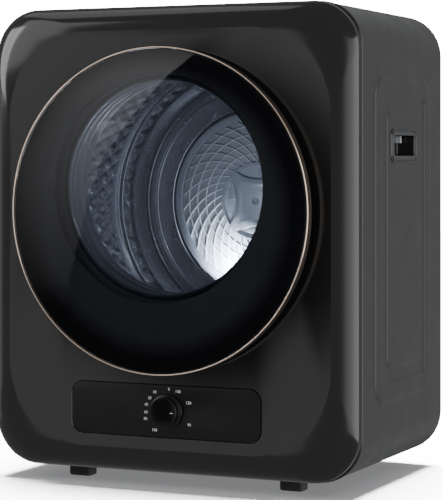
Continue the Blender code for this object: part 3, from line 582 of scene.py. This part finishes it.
def door():
    """Plated rim, glass, black print, carrier ring and gasket."""
    inside = RING_R - 0.0015
    rim = ([(RING_R, RIM_BACK), (RING_R, -0.0524)] + arc((RING_R - 0.0007, -0.0524), 0.0007, 0, -90, 5)[1:]
           + arc((RING_R - 0.0010, -0.0526), 0.0005, -90, -180, 4)
           + [(inside, -0.0490), (0.1930, -0.0490), (0.1930, -0.0474), (0.1972, -0.0468),
              (0.1972, -0.0412), (0.1978, RIM_BACK)])
    rim = [(r, max(d, RIM)) for r, d in rim]
    piece("door_rim", *turned(rim, 0, DOOR_Z, 256), "rose_metal", "door", ["door_ring"], sharp=40)
    edge_r = inside - 0.0003
    glass = [(edge_r - 0.0003, -0.0493), (edge_r, -0.0496), (edge_r, -0.0516), (edge_r - 0.0006, -0.0524),
             (edge_r - 0.0016, GLASS_FRONT)]
    piece("door_pane", *turned(glass, 0, DOOR_Z, 256, ring=False), "tinted_glass", "door", ["door_glass"],
          sharp=20)
    hole, edge = circle(PRINT_HOLE, 192), circle(edge_r - 0.0004, 192)
    sheet = [facing(hole, PRINT_BACK, 0, WINDOW_Z), facing(hole, PRINT_FRONT, 0, WINDOW_Z),
             facing(edge, PRINT_FRONT, 0, DOOR_Z), facing(edge, PRINT_BACK, 0, DOOR_Z)]
    piece("door_print", *skin(sheet, ring=True), "print", "door", slot="black_plastic")
    door_carrier()
    dome = arc((SEAL_R, SEAL_FRONT), SEAL_HALF, 0, 180, 8)[1:-1]
    gasket = [(SEAL_R + SEAL_HALF, SEAL_FRONT)] + dome + [(SEAL_R - SEAL_HALF, SEAL_FRONT)]
    gasket = [(r, SEAL_FRONT + min(0.0018, (d - SEAL_FRONT) * 0.52)) for r, d in gasket]
    piece("door_seal", *turned(gasket, 0, DOOR_Z, 160), "black_rubber", "door", ["door_gasket"])


def door_carrier():
    """Ring behind the glass, notched at the left for the hinge."""
    ease_r = CARRIER_R - 0.0006
    carrier = [(CARRIER_R, -0.0306), (CARRIER_R, -0.0480), (ease_r, CARRIER_FRONT), (0.1682, CARRIER_FRONT),
               (0.1676, -0.0480), (0.1660, -0.0306), (0.1666, CARRIER_BACK), (ease_r, CARRIER_BACK)]
    obj = raw("door_carrier_ring", *turned(carrier, 0, DOOR_Z, 192))
    half_h = 0.0320
    carve(obj, [box_tool((-0.200, -0.0400, DOOR_Z - half_h), (-0.1700, -0.0200, DOOR_Z + half_h))])
    settle(obj, "black_plastic", "door", ["door_carrier"])


def collar():
    """Loading tunnel with a rolled front flange and a rounded inner end."""
    bore, outer, front = 0.1315, 0.1341, -0.0298
    groove, swage = bore + 0.0009, bore + 0.0010
    profile = ([(0.1380, -0.0279)] + arc((0.1366, -0.0284), 0.0014, 0, -90, 4)
               + arc((bore + 0.0030, -0.0268), 0.0030, -90, -180, 6)
               + [(bore, -0.0200), (groove, -0.0190), (groove, -0.0060), (bore, -0.0050), (bore, 0.0080),
                  (swage, 0.0092), (swage, 0.0128), (bore, 0.0142), (bore - 0.0001, 0.0180)]
               + arc((bore + 0.0012, 0.0185), 0.0013, 180, 90, 5) + [(outer, 0.0198), (outer, -0.0270)])
    profile = [(r, max(d, front)) for r, d in profile]
    piece("loading_collar", *turned(profile, 0, WINDOW_Z, 224), "collar", "root", ["door_collar"],
          slot="light_grey_plastic", sharp=50)


def mouth_trim():
    """Charcoal ring on the front round the loading mouth, seen through the glass."""
    inner, outer = 0.1384, 0.1560
    back, front = FACE + 0.0004, FACE - 0.0010
    ring = [(inner, back), (inner, FACE - 0.0006), (0.1390, front), (0.1552, front), (outer, FACE - 0.0003),
            (outer, back)]
    piece("mouth_trim_ring", *turned(ring, 0, WINDOW_Z, 192), "trim", "root", slot="black_plastic")


# ---- drum --------------------------------------------------------------------
WALL_R = 0.1940                # inner face of the drum's wall
CELLS, COLUMN = 58, 0.0217     # pressed cells in one turn, and the spacing of their staggered columns
NET_HEIGHT = 0.0030            # height of the ridges between the cells
NET_MIDDLE, NET_HALF = 0.1240, 0.0801
PLAIN_IN = 0.0019              # how far the plain bands beside the net stand in
ROW_FROM, ROW_LENGTH, LOBE_HEIGHT = 0.2240, 0.0180, 0.0024
BOSSES, BOSS_RING, BOSS_TURN = 14, 0.1400, math.radians(147)
BOSS_R, BOSS_HEIGHT = 0.0108, 0.0009
LOBES = 24                     # half the number of lobes in the row behind the net
# radius and depth of the drum's outside, from the rear hole to the lip
DRUM_OUTSIDE = ((0.1180, 0.2680), (0.1600, 0.2679), (0.1700, 0.2640), (0.1800, 0.2560), (0.1858, 0.2440),
                (0.1870, 0.2260), (0.1920, 0.2200), (0.1950, 0.2150), (0.1950, 0.1220), (0.1950, 0.0290),
                (0.1920, 0.0240), (0.1880, 0.0226), (0.1600, 0.0226))


def cell_net(theta, depth):
    """0 on the ridges of the staggered net and 1 in the middle of a cell."""
    u = theta * CELLS / TAU + depth / (2 * COLUMN)
    v = theta * CELLS / TAU - depth / (2 * COLUMN)
    return (np.sin(math.pi * u) ** 2 * np.sin(math.pi * v) ** 2) ** 0.28


def plain(points):
    """Profile points that stay round."""
    return [(r, d, "") for r, d in points]


def drum_profile():
    """(radius, depth, pattern) down the inside of the drum, from the lip to the rear hole."""
    line = plain([(0.160, 0.0236), (0.1870, 0.0236)] + arc((0.1870, 0.0286), 0.0050, -90, 0, 6)[1:])
    line += plain([(0.1920, 0.0340), (0.1920, 0.0420)])
    line += [(WALL_R, d, "net") for d in np.linspace(0.0440, 0.2040, 88)]
    line += plain([(0.1921, 0.2060), (0.1921, 0.2120), (0.1921, 0.2180)])
    line += plain(arc((0.1903, 0.2190), 0.0018, 0, 80, 5)[1:] + [(0.1890, 0.2212), (0.1872, 0.2214)])
    line += plain(arc((0.1870, 0.2230), 0.0016, -95, -160, 4)[1:])
    line += [(0.1850 - 0.0036 * t, ROW_FROM + ROW_LENGTH * t, "row") for t in np.linspace(0, 1, 17)]
    line += plain([(0.1800, 0.2460), (0.1745, 0.2545), (0.1715, 0.2585), (0.1690, 0.2612)])
    for bead in (0.1645, 0.1540):
        line += plain([(bead + 0.0034, 0.2632), (bead + 0.0022, 0.2632), (bead + 0.0010, 0.2600),
                       (bead, 0.2592), (bead - 0.0010, 0.2600), (bead - 0.0022, 0.2628)])
    line += [(r, 0.2630, "boss") for r in np.linspace(0.1510, 0.1288, 22)]
    return line + plain([(0.1272, 0.2640), (0.1262, 0.2668), (0.1180, 0.2670)])


def around(theta, radius, depth):
    """Ring of points about the drum's axis, at one depth or at a depth for each point."""
    return np.stack([radius * np.cos(theta), SEAM + depth, DRUM_Z + radius * np.sin(theta)], -1)


def drum():
    """Steel drum: net of pressed cells on the wall, beads and round bosses on its back."""
    count = CELLS * 11
    theta = np.arange(count) * TAU / count
    rings = []
    for radius, depth, pattern in drum_profile():
        r, d = np.full(count, radius), np.full(count, depth)
        if pattern == "net":
            edge = float(ease((NET_HALF - abs(depth - NET_MIDDLE)) / 0.006))
            r = r - PLAIN_IN + edge * (PLAIN_IN - NET_HEIGHT * (1 - cell_net(theta, depth)))
        if pattern == "row":
            t = (depth - ROW_FROM) / ROW_LENGTH
            r = r - LOBE_HEIGHT * math.sin(math.pi * t) * (np.sin(theta * LOBES) ** 2) ** 0.7 + 0.0008
        if pattern == "boss":
            step = TAU / BOSSES
            off = (theta - BOSS_TURN + step / 2) % step - step / 2
            away = np.hypot(radius * np.cos(off) - BOSS_RING, radius * np.sin(off))
            d = d - BOSS_HEIGHT * ease((BOSS_R - away) / 0.0045) * float(ease((0.1520 - radius) / 0.002))
        rings.append(around(theta, r, d))
    rings += [around(theta, radius, np.full(count, depth)) for radius, depth in DRUM_OUTSIDE]
    piece("drum_wall", *skin(rings, ring=True), "drum_steel", "drum", ["drum_shell"], sharp=60)


RIBS = 36
HUB_EDGE, RIM_INSIDE = 0.0535, 0.1130
RIB_TURN = math.radians(37)       # how far a rib winds between the hub and the rim
HOOPS = (0.0655, 0.0785, 0.0915, 0.1040)
GRILLE_BACK = 0.2655
# offset across and depth of each corner of a bar; ribs stand a little in front of the hoops
RIB_BAR = ((-0.0006, GRILLE_BACK), (-0.0006, 0.2631), (-0.0003, 0.2627), (0.0003, 0.2627), (0.0006, 0.2631),
           (0.0006, GRILLE_BACK))
HOOP_BAR = ((0.0006, GRILLE_BACK), (0.0006, 0.2635), (0.0003, 0.2631), (-0.0003, 0.2631), (-0.0006, 0.2635),
            (-0.0006, GRILLE_BACK))


def rib_sections(start):
    """Bar that winds from the hub to the rim, from a starting angle."""
    sections = []
    for k in range(13):
        share = k / 12
        radius = HUB_EDGE - 0.002 + (RIM_INSIDE + 0.001 - HUB_EDGE + 0.002) * share
        angle = start + RIB_TURN * share
        heading = angle + math.atan(RIB_TURN / (RIM_INSIDE - HUB_EDGE) * radius)
        x, z = radius * math.cos(angle), radius * math.sin(angle)
        sections.append([(x - math.sin(heading) * side, SEAM + depth, DRUM_Z + z + math.cos(heading) * side)
                         for side, depth in RIB_BAR])
    return sections


def rear_grille():
    """Rim, hoops, spiral ribs and a domed hub with four finger pockets, joined at the back."""
    grey = "light_grey_plastic"
    rim = ([(0.1255, GRILLE_BACK), (0.1255, 0.2632), (0.1234, 0.2630), (0.1229, 0.2612)]
           + arc((0.1217, 0.2606), 0.0012, 0, -90, 4)[1:] + [(0.1180, 0.2590), (0.1148, 0.2594)]
           + arc((0.1143, 0.2607), 0.0013, -90, -180, 4)[1:] + [(RIM_INSIDE, GRILLE_BACK)])
    piece("grille_rim", *turned(rim, 0, DRUM_Z, 216), grey, "drum", ["rear_grille"])
    # hoops and ribs take the paler rib look: a painted highlight on the grille's own plastic
    for i, radius in enumerate(HOOPS):
        hoop = [(radius + side, depth) for side, depth in HOOP_BAR]
        piece("grille_hoop_%d" % (i + 1), *turned(hoop, 0, DRUM_Z, 160), "rib", "drum", slot=grey)
    points, faces = [], []
    for i in range(RIBS):
        more, skinned = skin(rib_sections(TAU * i / RIBS))
        faces += [tuple(len(points) + n for n in face) for face in skinned]
        points += more
    # the ribs' paler colour is a painted highlight
    piece("grille_ribs", points, faces, "rib", "drum", slot=grey, sharp=40)
    hub()


POCKET_R = 0.0405                        # how far the pockets' middles are from the axis
POCKET_LENGTH, POCKET_WIDTH = 0.032, 0.0105    # half sizes of the lens between two equal bows
HUB_BORE, WELL_R, WELL_DEPTH = 0.0012, 0.0047, 0.0126


def hub_depth(x, z):
    """Depth of the hub's front: a soft dome, a lens-shaped pocket on each quarter and a ridge inside each."""
    radius = np.hypot(x, z)
    depth = 0.2525 + 0.0085 * ease((radius - 0.006) / 0.050)
    bow = (POCKET_LENGTH ** 2 + POCKET_WIDTH ** 2) / (2 * POCKET_WIDTH)
    for quarter in range(4):
        turn = quarter * math.pi / 2
        radial = x * math.cos(turn) + z * math.sin(turn) - POCKET_R
        along = -x * math.sin(turn) + z * math.cos(turn)
        inner = np.hypot(radial - (bow - POCKET_WIDTH), along)
        outer = np.hypot(radial + (bow - POCKET_WIDTH), along)
        inside = bow - np.maximum(inner, outer)
        floor = 0.0058 + 0.0042 * ease((along + 0.003) / 0.003) - 0.0018 * ease((inside - 0.0052) / 0.0016)
        depth = depth + ease(inside / 0.0018) * floor
        ridge = np.exp(-((inner - bow - 0.0058) / 0.0034) ** 2) * ease((0.030 - np.abs(along)) / 0.010)
        depth = depth - 0.0016 * ridge * (radial < 0)
    well = ease((WELL_R - radius) / 0.0008)
    return np.minimum(depth + WELL_DEPTH * well, 0.2652)


def hub():
    """Hub with a shaped front and a flat back, round a narrow bore."""
    count, rings = 300, 64
    theta = np.arange(count) * TAU / count
    layers = []
    for j in range(rings):
        radius = HUB_BORE + (HUB_EDGE - HUB_BORE) * j / (rings - 1)
        layers.append(around(theta, radius, hub_depth(radius * np.cos(theta), radius * np.sin(theta))))
    layers += [around(theta, radius, np.full(count, GRILLE_BACK)) for radius in (HUB_EDGE, HUB_BORE)]
    piece("grille_hub", *skin(layers, ring=True), "light_grey_plastic", "drum", sharp=50)


def filter_disc():
    """Round lint filter behind the grille."""
    radius, front, back = 0.1225, 0.2658, 0.2666
    piece("filter_cloth", *turned([(radius, front), (radius, back)], 0, DRUM_Z, 128, ring=False),
          "filter_fabric", "drum", ["lint_filter"])


# ---- controls ----------------------------------------------------------------
FIGURE_SIZE, FIGURE_THICK, FIGURE_BOLD, FIGURE_LIFT = 0.0050, 0.00004, 0.00004, 0.00006
# across and up from the dial's middle, and the minutes
FIGURES = ((0.0025, 0.0274, "0"), (0.0146, 0.0250, "150"), (0.0290, 0.0117, "120"), (0.0300, -0.0150, "90"),
           (-0.0173, -0.0237, "100"), (-0.0296, -0.0104, "80"), (-0.0289, -0.0022, "60"),
           (-0.0286, 0.0072, "40"), (-0.0240, 0.0155, "20"), (-0.0173, 0.0230, "10"))


def control_plate():
    """Recessed plate with an eased edge, and the marks printed on it."""
    depth = plate_low.y - SEAM
    sections = [facing(rounded(PLATE_HALF_W - i, PLATE_HALF_H - i, 0.015 - i, 12), depth + d,
                       CONTROL.x, CONTROL.z)
                for i, d in ((0.0, 0.0016), (0.0, 0.0006), (0.00018, 0.00018), (0.0006, 0.0))]
    obj = raw("control_face", *skin(sections))
    shaft_r = 0.0040
    carve(obj, [turned([(shaft_r, BEFORE), (shaft_r, 0.0)], KNOB.x, KNOB.z, 24, ring=False)])
    settle(obj, "control_plastic", "root", ["control_plate"], sharp=30)
    for i, (x, z, words) in enumerate(FIGURES):
        text_mark("dial_figure_%d" % (i + 1), words, KNOB.x + x, KNOB.z + z)


def text_mark(name, words, x, z):
    """Raised ink figures, turned into a mesh."""
    data = bpy.data.curves.new(name, "FONT")
    data.body = words
    data.size = FIGURE_SIZE
    data.align_x = data.align_y = "CENTER"
    data.extrude = FIGURE_THICK
    data.offset = FIGURE_BOLD
    data.resolution_u = 3
    obj = placed(name, data)
    obj.location = (x, plate_low.y - FIGURE_LIFT, z)
    obj.rotation_euler = (math.pi / 2, 0, 0)
    graph = bpy.context.evaluated_depsgraph_get()
    mesh = bpy.data.meshes.new_from_object(obj.evaluated_get(graph))
    mesh.transform(obj.matrix_world)
    bpy.data.objects.remove(obj)
    settle(placed(name, mesh), "ink", "root", smooth=False)


def knob():
    """Dial: flared skirt, gap line, slightly domed cap and a pointer."""
    base, front = knob_high.y - SEAM, knob_low.y - SEAM
    grip_r, dome_r = 0.0186, 0.0168
    skirt = ([(0.0203, base), (0.0212, base - 0.0004), (0.0215, base - 0.0010)]
             + arc((0.0203, base - 0.0026), 0.0012, 0, -80, 5)
             + [(0.0190, base - 0.0041), (grip_r, base - 0.0044)])
    cap = ([(grip_r, base - 0.0050), (grip_r, front + 0.0030)]
           + arc((0.0173, front + 0.0027), 0.0013, 0, -75, 5))
    face = [(r, front + 0.0013 * (r / dome_r) ** 2)
            for r in (dome_r, 0.0150, 0.0125, 0.0095, 0.0060, 0.0030, 0.0008)]
    profile = [(r, max(d, front)) for r, d in skirt + cap + face]
    piece("dial_cap", *turned(profile, KNOB.x, KNOB.z, 128, ring=False), "dial", "dial", ["timer_knob"],
          slot="control_plastic", sharp=40)
    outline, pointer_x = rounded(0.0022, 0.00035, 0.00034, 3), KNOB.x + 0.0128
    tip = skin([facing(outline, front + d, pointer_x, KNOB.z) for d in (0.0005, 0.0016)])
    piece("dial_pointer", *tip, "ink", "dial", slot="white_plastic")


# ---- CAD nodes that stay -----------------------------------------------------
def carried_over():
    """Every CAD node gets its slot's material, which shows on those that no piece replaces."""
    slot_of = {s["node"]: s["material_slot"] for s in frame["record"]["subparts"]}
    for name, obj in frame["nodes"].items():
        look = LOOK[slot_of[name]]
        if not obj.data.materials:
            obj.data.materials.append(look)
        for i in range(len(obj.data.materials)):
            obj.data.materials[i] = look


# ---- stage -------------------------------------------------------------------
def area_light(name, place, target, size, power, colour=(1, 1, 1), spread_deg=180):
    """Soft rectangular lamp at a place, turned to a target."""
    data = bpy.data.lights.new(name, "AREA")
    data.shape = "RECTANGLE"
    data.size, data.size_y = size
    data.energy = power
    data.color = colour
    data.spread = math.radians(spread_deg)
    obj = placed(name, data)
    turn = (Vector(place) - Vector(target)).to_track_quat("Z", "Y").to_matrix().to_4x4()
    obj.matrix_world = Matrix.Translation(place) @ turn
    return obj


def receivers(light, objects, leave_out=False):
    """Let a light fall on some objects only, or on all but those."""
    group = bpy.data.collections.new(light.name + " receivers")
    for obj in objects:
        group.objects.link(obj)
    light.light_linking.receiver_collection = group
    if leave_out:
        for member in group.collection_objects:
            member.light_linking.link_state = "EXCLUDE"


def sky(strength, backdrop):
    """Even soft light all round, with a white backdrop."""
    world = bpy.data.worlds.new("studio")
    bpy.context.scene.world = world
    world.use_nodes = True
    tree = world.node_tree
    plain = tree.nodes["Background"]
    fill(tree, plain, {"Color": (0.96, 0.98, 1.0, 1), "Strength": strength})
    seen = add(tree, "Background", {"Color": (1, 1, 1, 1), "Strength": backdrop})
    path = add(tree, "LightPath", {})
    mix = add(tree, "MixShader", {"Fac": path.outputs["Is Camera Ray"], 1: plain.outputs["Background"],
                                  2: seen.outputs["Background"]})
    fill(tree, tree.nodes["World Output"], {"Surface": mix.outputs["Shader"]})


def pale_floor():
    """Faintly glowing floor that neither lights the object nor shows in it."""
    size, level = 8.0, -0.0002
    floor = raw("floor", [(-size, -size, level), (size, -size, level), (size, size, level),
                          (-size, size, level)], [(0, 1, 2, 3)])
    made, tree, shader = blank("pale floor")
    fill(tree, shader, {"Base Color": (0.86, 0.86, 0.87, 1), "Specular IOR Level": 0.0,
                        "Roughness": spread(tree, noise(tree, 3), 0.75, 0.85),
                        "Emission Color": (0.97, 0.98, 1.0, 1), "Emission Strength": 0.19})
    floor.data.materials.append(made)
    floor.visible_diffuse = False
    floor.visible_glossy = False
    floor.visible_shadow = False
    return floor


def overhead_sun(floor):
    """Wide sun that only the floor receives; it makes the soft shadow."""
    data = bpy.data.lights.new("overhead", "SUN")
    data.energy = 56
    data.angle = math.radians(28)
    obj = placed("overhead", data)
    obj.rotation_euler = (math.radians(-10), math.radians(-2), 0)
    receivers(obj, [floor])


def level_curve(tree, source, levels):
    """Curve through the given points."""
    node = add(tree, "FloatCurve", {"Value": source})
    curve = node.mapping.curves[0]
    for place, level in levels[1:-1]:
        curve.points.new(place, level)
    curve.points[0].location = levels[0]
    curve.points[-1].location = levels[-1]
    node.mapping.update()
    return node.outputs["Value"]


def glowing_card(name, points, faces, shadow=False):
    """Card that lights and is mirrored but isn't seen itself: its object and its node tree."""
    card = raw(name, points, faces)
    made, tree, shader = blank(name)
    tree.nodes.remove(shader)
    card.data.materials.append(made)
    card.visible_camera = False
    card.visible_shadow = shadow
    return card, tree


def emit(tree, level, peak, colour=(1, 1, 1)):
    """Emission whose strength is a level between 0 and 1 times its peak."""
    glow = add(tree, "Emission", {"Color": (*colour, 1), "Strength": combine(tree, "MULTIPLY", level, peak)})
    fill(tree, tree.nodes["Material Output"], {"Surface": glow.outputs["Emission"]})


def height_of(tree, source):
    return add(tree, "SeparateXYZ", {"Vector": source}).outputs["Z"]


CARD_LEFT, CARD_RIGHT, CARD_LOW, CARD_HIGH = -1.85, -0.42, -0.75, 1.15
DARK_X, DARK_Z, DARK_R, LIT_R = -0.940, 0.235, 0.370, 0.450   # its dark disc, and where it is fully lit


def front_card():
    """Dim card that the flat front mirrors, with a dark disc in it that shows beside the door."""
    y, peak = SEAM - 2.2, 1.02
    corners = [(CARD_LEFT, y, CARD_LOW), (CARD_RIGHT, y, CARD_LOW), (CARD_RIGHT, y, CARD_HIGH),
               (CARD_LEFT, y, CARD_HIGH)]
    card, tree = glowing_card("front_card", corners, [(0, 1, 2, 3)], shadow=True)
    place = place_of(tree)
    ring = spread(tree, distance_from(tree, place, (DARK_X, y, DARK_Z)), 0.0, 1.0, DARK_R, LIT_R)
    height = spread(tree, height_of(tree, place), 0.86, 1.0, -0.2, 0.65)
    emit(tree, combine(tree, "MULTIPLY", ring, height), peak)
    mirrors = ("front_moulding_shell", "control_face", "door_rim")
    receivers(card, [bpy.data.objects[name] for name in mirrors])


SOFTBOX_X, SOFTBOX_Z, SOFTBOX_R = -1.063, 0.277, 0.420
# the slanted edge, from the top, and the glow's level by height
SOFTBOX_EDGE = [(-0.90, 0.74), (-0.953, 0.655), (-1.025, 0.605), (-1.090, 0.541), (-1.139, 0.486),
                (-1.186, 0.425), (-1.208, 0.395), (-1.230, 0.341), (-1.241, 0.314), (-1.264, 0.218),
                (-1.292, 0.121), (-1.32, -0.02)]
SOFTBOX_LEVELS = [(0.0, 0.0), (0.05, 0.02), (0.12, 0.14), (0.20, 0.22), (0.35, 0.42), (0.50, 0.60),
                  (0.66, 0.95), (1.0, 1.0)]


def softbox_card():
    """Part of a glowing disc that the glass mirrors, slanted at one side; weaker downwards and outwards."""
    y, peak = SEAM - 2.19, 1.2
    turn = [math.radians(a) for a in range(100, 246, 3)]
    outline = SOFTBOX_EDGE + [(SOFTBOX_X + SOFTBOX_R * math.cos(a), SOFTBOX_Z + SOFTBOX_R * math.sin(a))
                              for a in turn[::-1]]
    card, tree = glowing_card("softbox", [(x, y, z) for x, z in outline], [tuple(range(len(outline)))])
    place = place_of(tree)
    downwards = level_curve(tree, height_of(tree, place), SOFTBOX_LEVELS)
    outwards = spread(tree, distance_from(tree, place, (SOFTBOX_X, y, SOFTBOX_Z)), 1.0, 0.45, 0.35, 0.405)
    emit(tree, combine(tree, "MULTIPLY", downwards, outwards), peak, (1.0, 0.98, 0.96))
    receivers(card, [bpy.data.objects["door_pane"]])


def studio_wall(name, centre, radius, heights, bearings, peak, levels):
    """Glowing wall bent round the object; its strength follows the bearing, in degrees from +X."""
    steps, (first, last) = 28, bearings
    turn = [math.radians(first + (last - first) * k / steps) for k in range(steps + 1)]
    points = [(radius * math.cos(b), radius * math.sin(b), z) for z in heights for b in turn]
    faces = [(k, k + 1, steps + 2 + k, steps + 1 + k) for k in range(steps)]
    wall, tree = glowing_card(name, points, faces)
    wall.location = (*centre, 0)
    bearing = add(tree, "TexGradient", {"Vector": place_of(tree)})
    bearing.gradient_type = "RADIAL"
    levels = [(0.5 + b / 360, level) for b, level in levels]
    emit(tree, level_curve(tree, bearing.outputs["Fac"], levels), peak)
    return wall


# place, target, size and watts
STUDIO_LAMPS = {
    "left_key": ((-2.767, -1.402, 1.265), (-0.20, -0.15, 0.50), (1.10, 1.35), 26),
    "upper_key": ((-2.202, -2.187, 1.654), (-0.20, -0.15, 0.50), (1.30, 1.50), 11),
    "top_box": ((-1.41, -0.68, 2.76), (-0.10, -0.15, 0.58), (1.5, 1.5), 8.5),
}
# centre, radius, heights, bearings, peak strength and its level by bearing
STUDIO_WALLS = {
    "right_wall": ((0.24, -0.15), 2.9, (-0.95, 1.95), (-78, 40), 4.0,
                   [(-180, 0.11), (-78, 0.11), (-70, 0.16), (-62, 0.28), (-54, 0.42), (-45, 0.50),
                    (-30, 0.64), (-15, 0.82), (0, 0.92), (22, 0.85), (38, 0.40), (180, 0.40)]),
    "left_wall": ((-0.24, -0.15), 3.3, (-0.9, 0.9), (168, 204), 0.9,
                  [(-180, 1.0), (-165, 1.0), (-157, 0.45), (168, 0.45), (176, 1.0), (180, 1.0)]),
    "back_card": ((0.0, 0.0), 3.1, (-1.2, 1.3), (80, 122), 0.42,
                  [(-180, 0.05), (80, 0.9), (92, 0.10), (118, 0.10), (180, 0.2)]),
}


def drum_lamps():
    """Small lamps in and before the drum; three of them fall only on the pieces they are for."""
    def at(x, depth, z):
        return (x, SEAM + depth, z)

    lamp = area_light("drum_lamp", at(-0.030, 0.228, DRUM_Z - 0.098), at(-0.036, 0.264, DRUM_Z - 0.088),
                      (0.02, 0.02), 1.0, (0.90, 0.96, 1.0), 115)
    glow = area_light("grille_glow", at(0.01, 0.130, DRUM_Z - 0.005), at(-0.01, 0.264, DRUM_Z - 0.010),
                      (0.04, 0.04), 0.20, (0.88, 0.94, 1.0))
    area_light("drum_fill", at(0.0, -0.022, WINDOW_Z), at(-0.04, 0.25, DRUM_Z + 0.10), (0.17, 0.17),
               0.085, (0.86, 0.89, 1.0))
    area_light("back_fill", at(0.05, 0.050, DRUM_Z - 0.04), at(-0.07, 0.24, DRUM_Z + 0.10), (0.16, 0.16),
               0.16, (0.89, 0.92, 1.0))
    spark = area_light("drum_spark", at(0.085, 0.004, WINDOW_Z + 0.070), at(-0.17, 0.09, DRUM_Z + 0.06),
                       (0.012, 0.012), 0.22, (0.92, 0.96, 1.0))
    inside = [obj for obj in bpy.data.objects if obj.name.startswith(("grille_", "filter_"))]
    for light in (lamp, glow):
        receivers(light, inside)
    receivers(spark, [bpy.data.objects["drum_wall"], bpy.data.objects["loading_collar"]])


def stage():
    """Floor, sky, sun, lamps and cards; what lights the object is kept off the floor."""
    floor = pale_floor()
    sky(strength=0.42, backdrop=22.0)
    overhead_sun(floor)
    lights = [area_light(name, *facts) for name, facts in STUDIO_LAMPS.items()]
    lights += [studio_wall(name, *facts) for name, facts in STUDIO_WALLS.items()]
    for light in lights:
        receivers(light, [floor], leave_out=True)
    softbox_card()
    front_card()
    drum_lamps()


def camera():
    """The photo's viewpoint: a long lens in front and to the right, shifted down."""
    data = bpy.data.cameras.new("camera")
    data.sensor_width = 36
    data.lens = 143.24
    data.shift_y = -0.188
    data.clip_end = 50
    obj = placed("camera", data)
    obj.location = (1.075, SEAM - 2.225, MID + 0.103)
    obj.rotation_euler = (math.pi / 2, 0, math.radians(24.42))
    bpy.context.scene.camera = obj


camera()
front_panel()
cabinet_shell()
feet()
side_grips()
collar()
mouth_trim()
drum()
rear_grille()
filter_disc()
door()
control_plate()
knob()
carried_over()
stage()
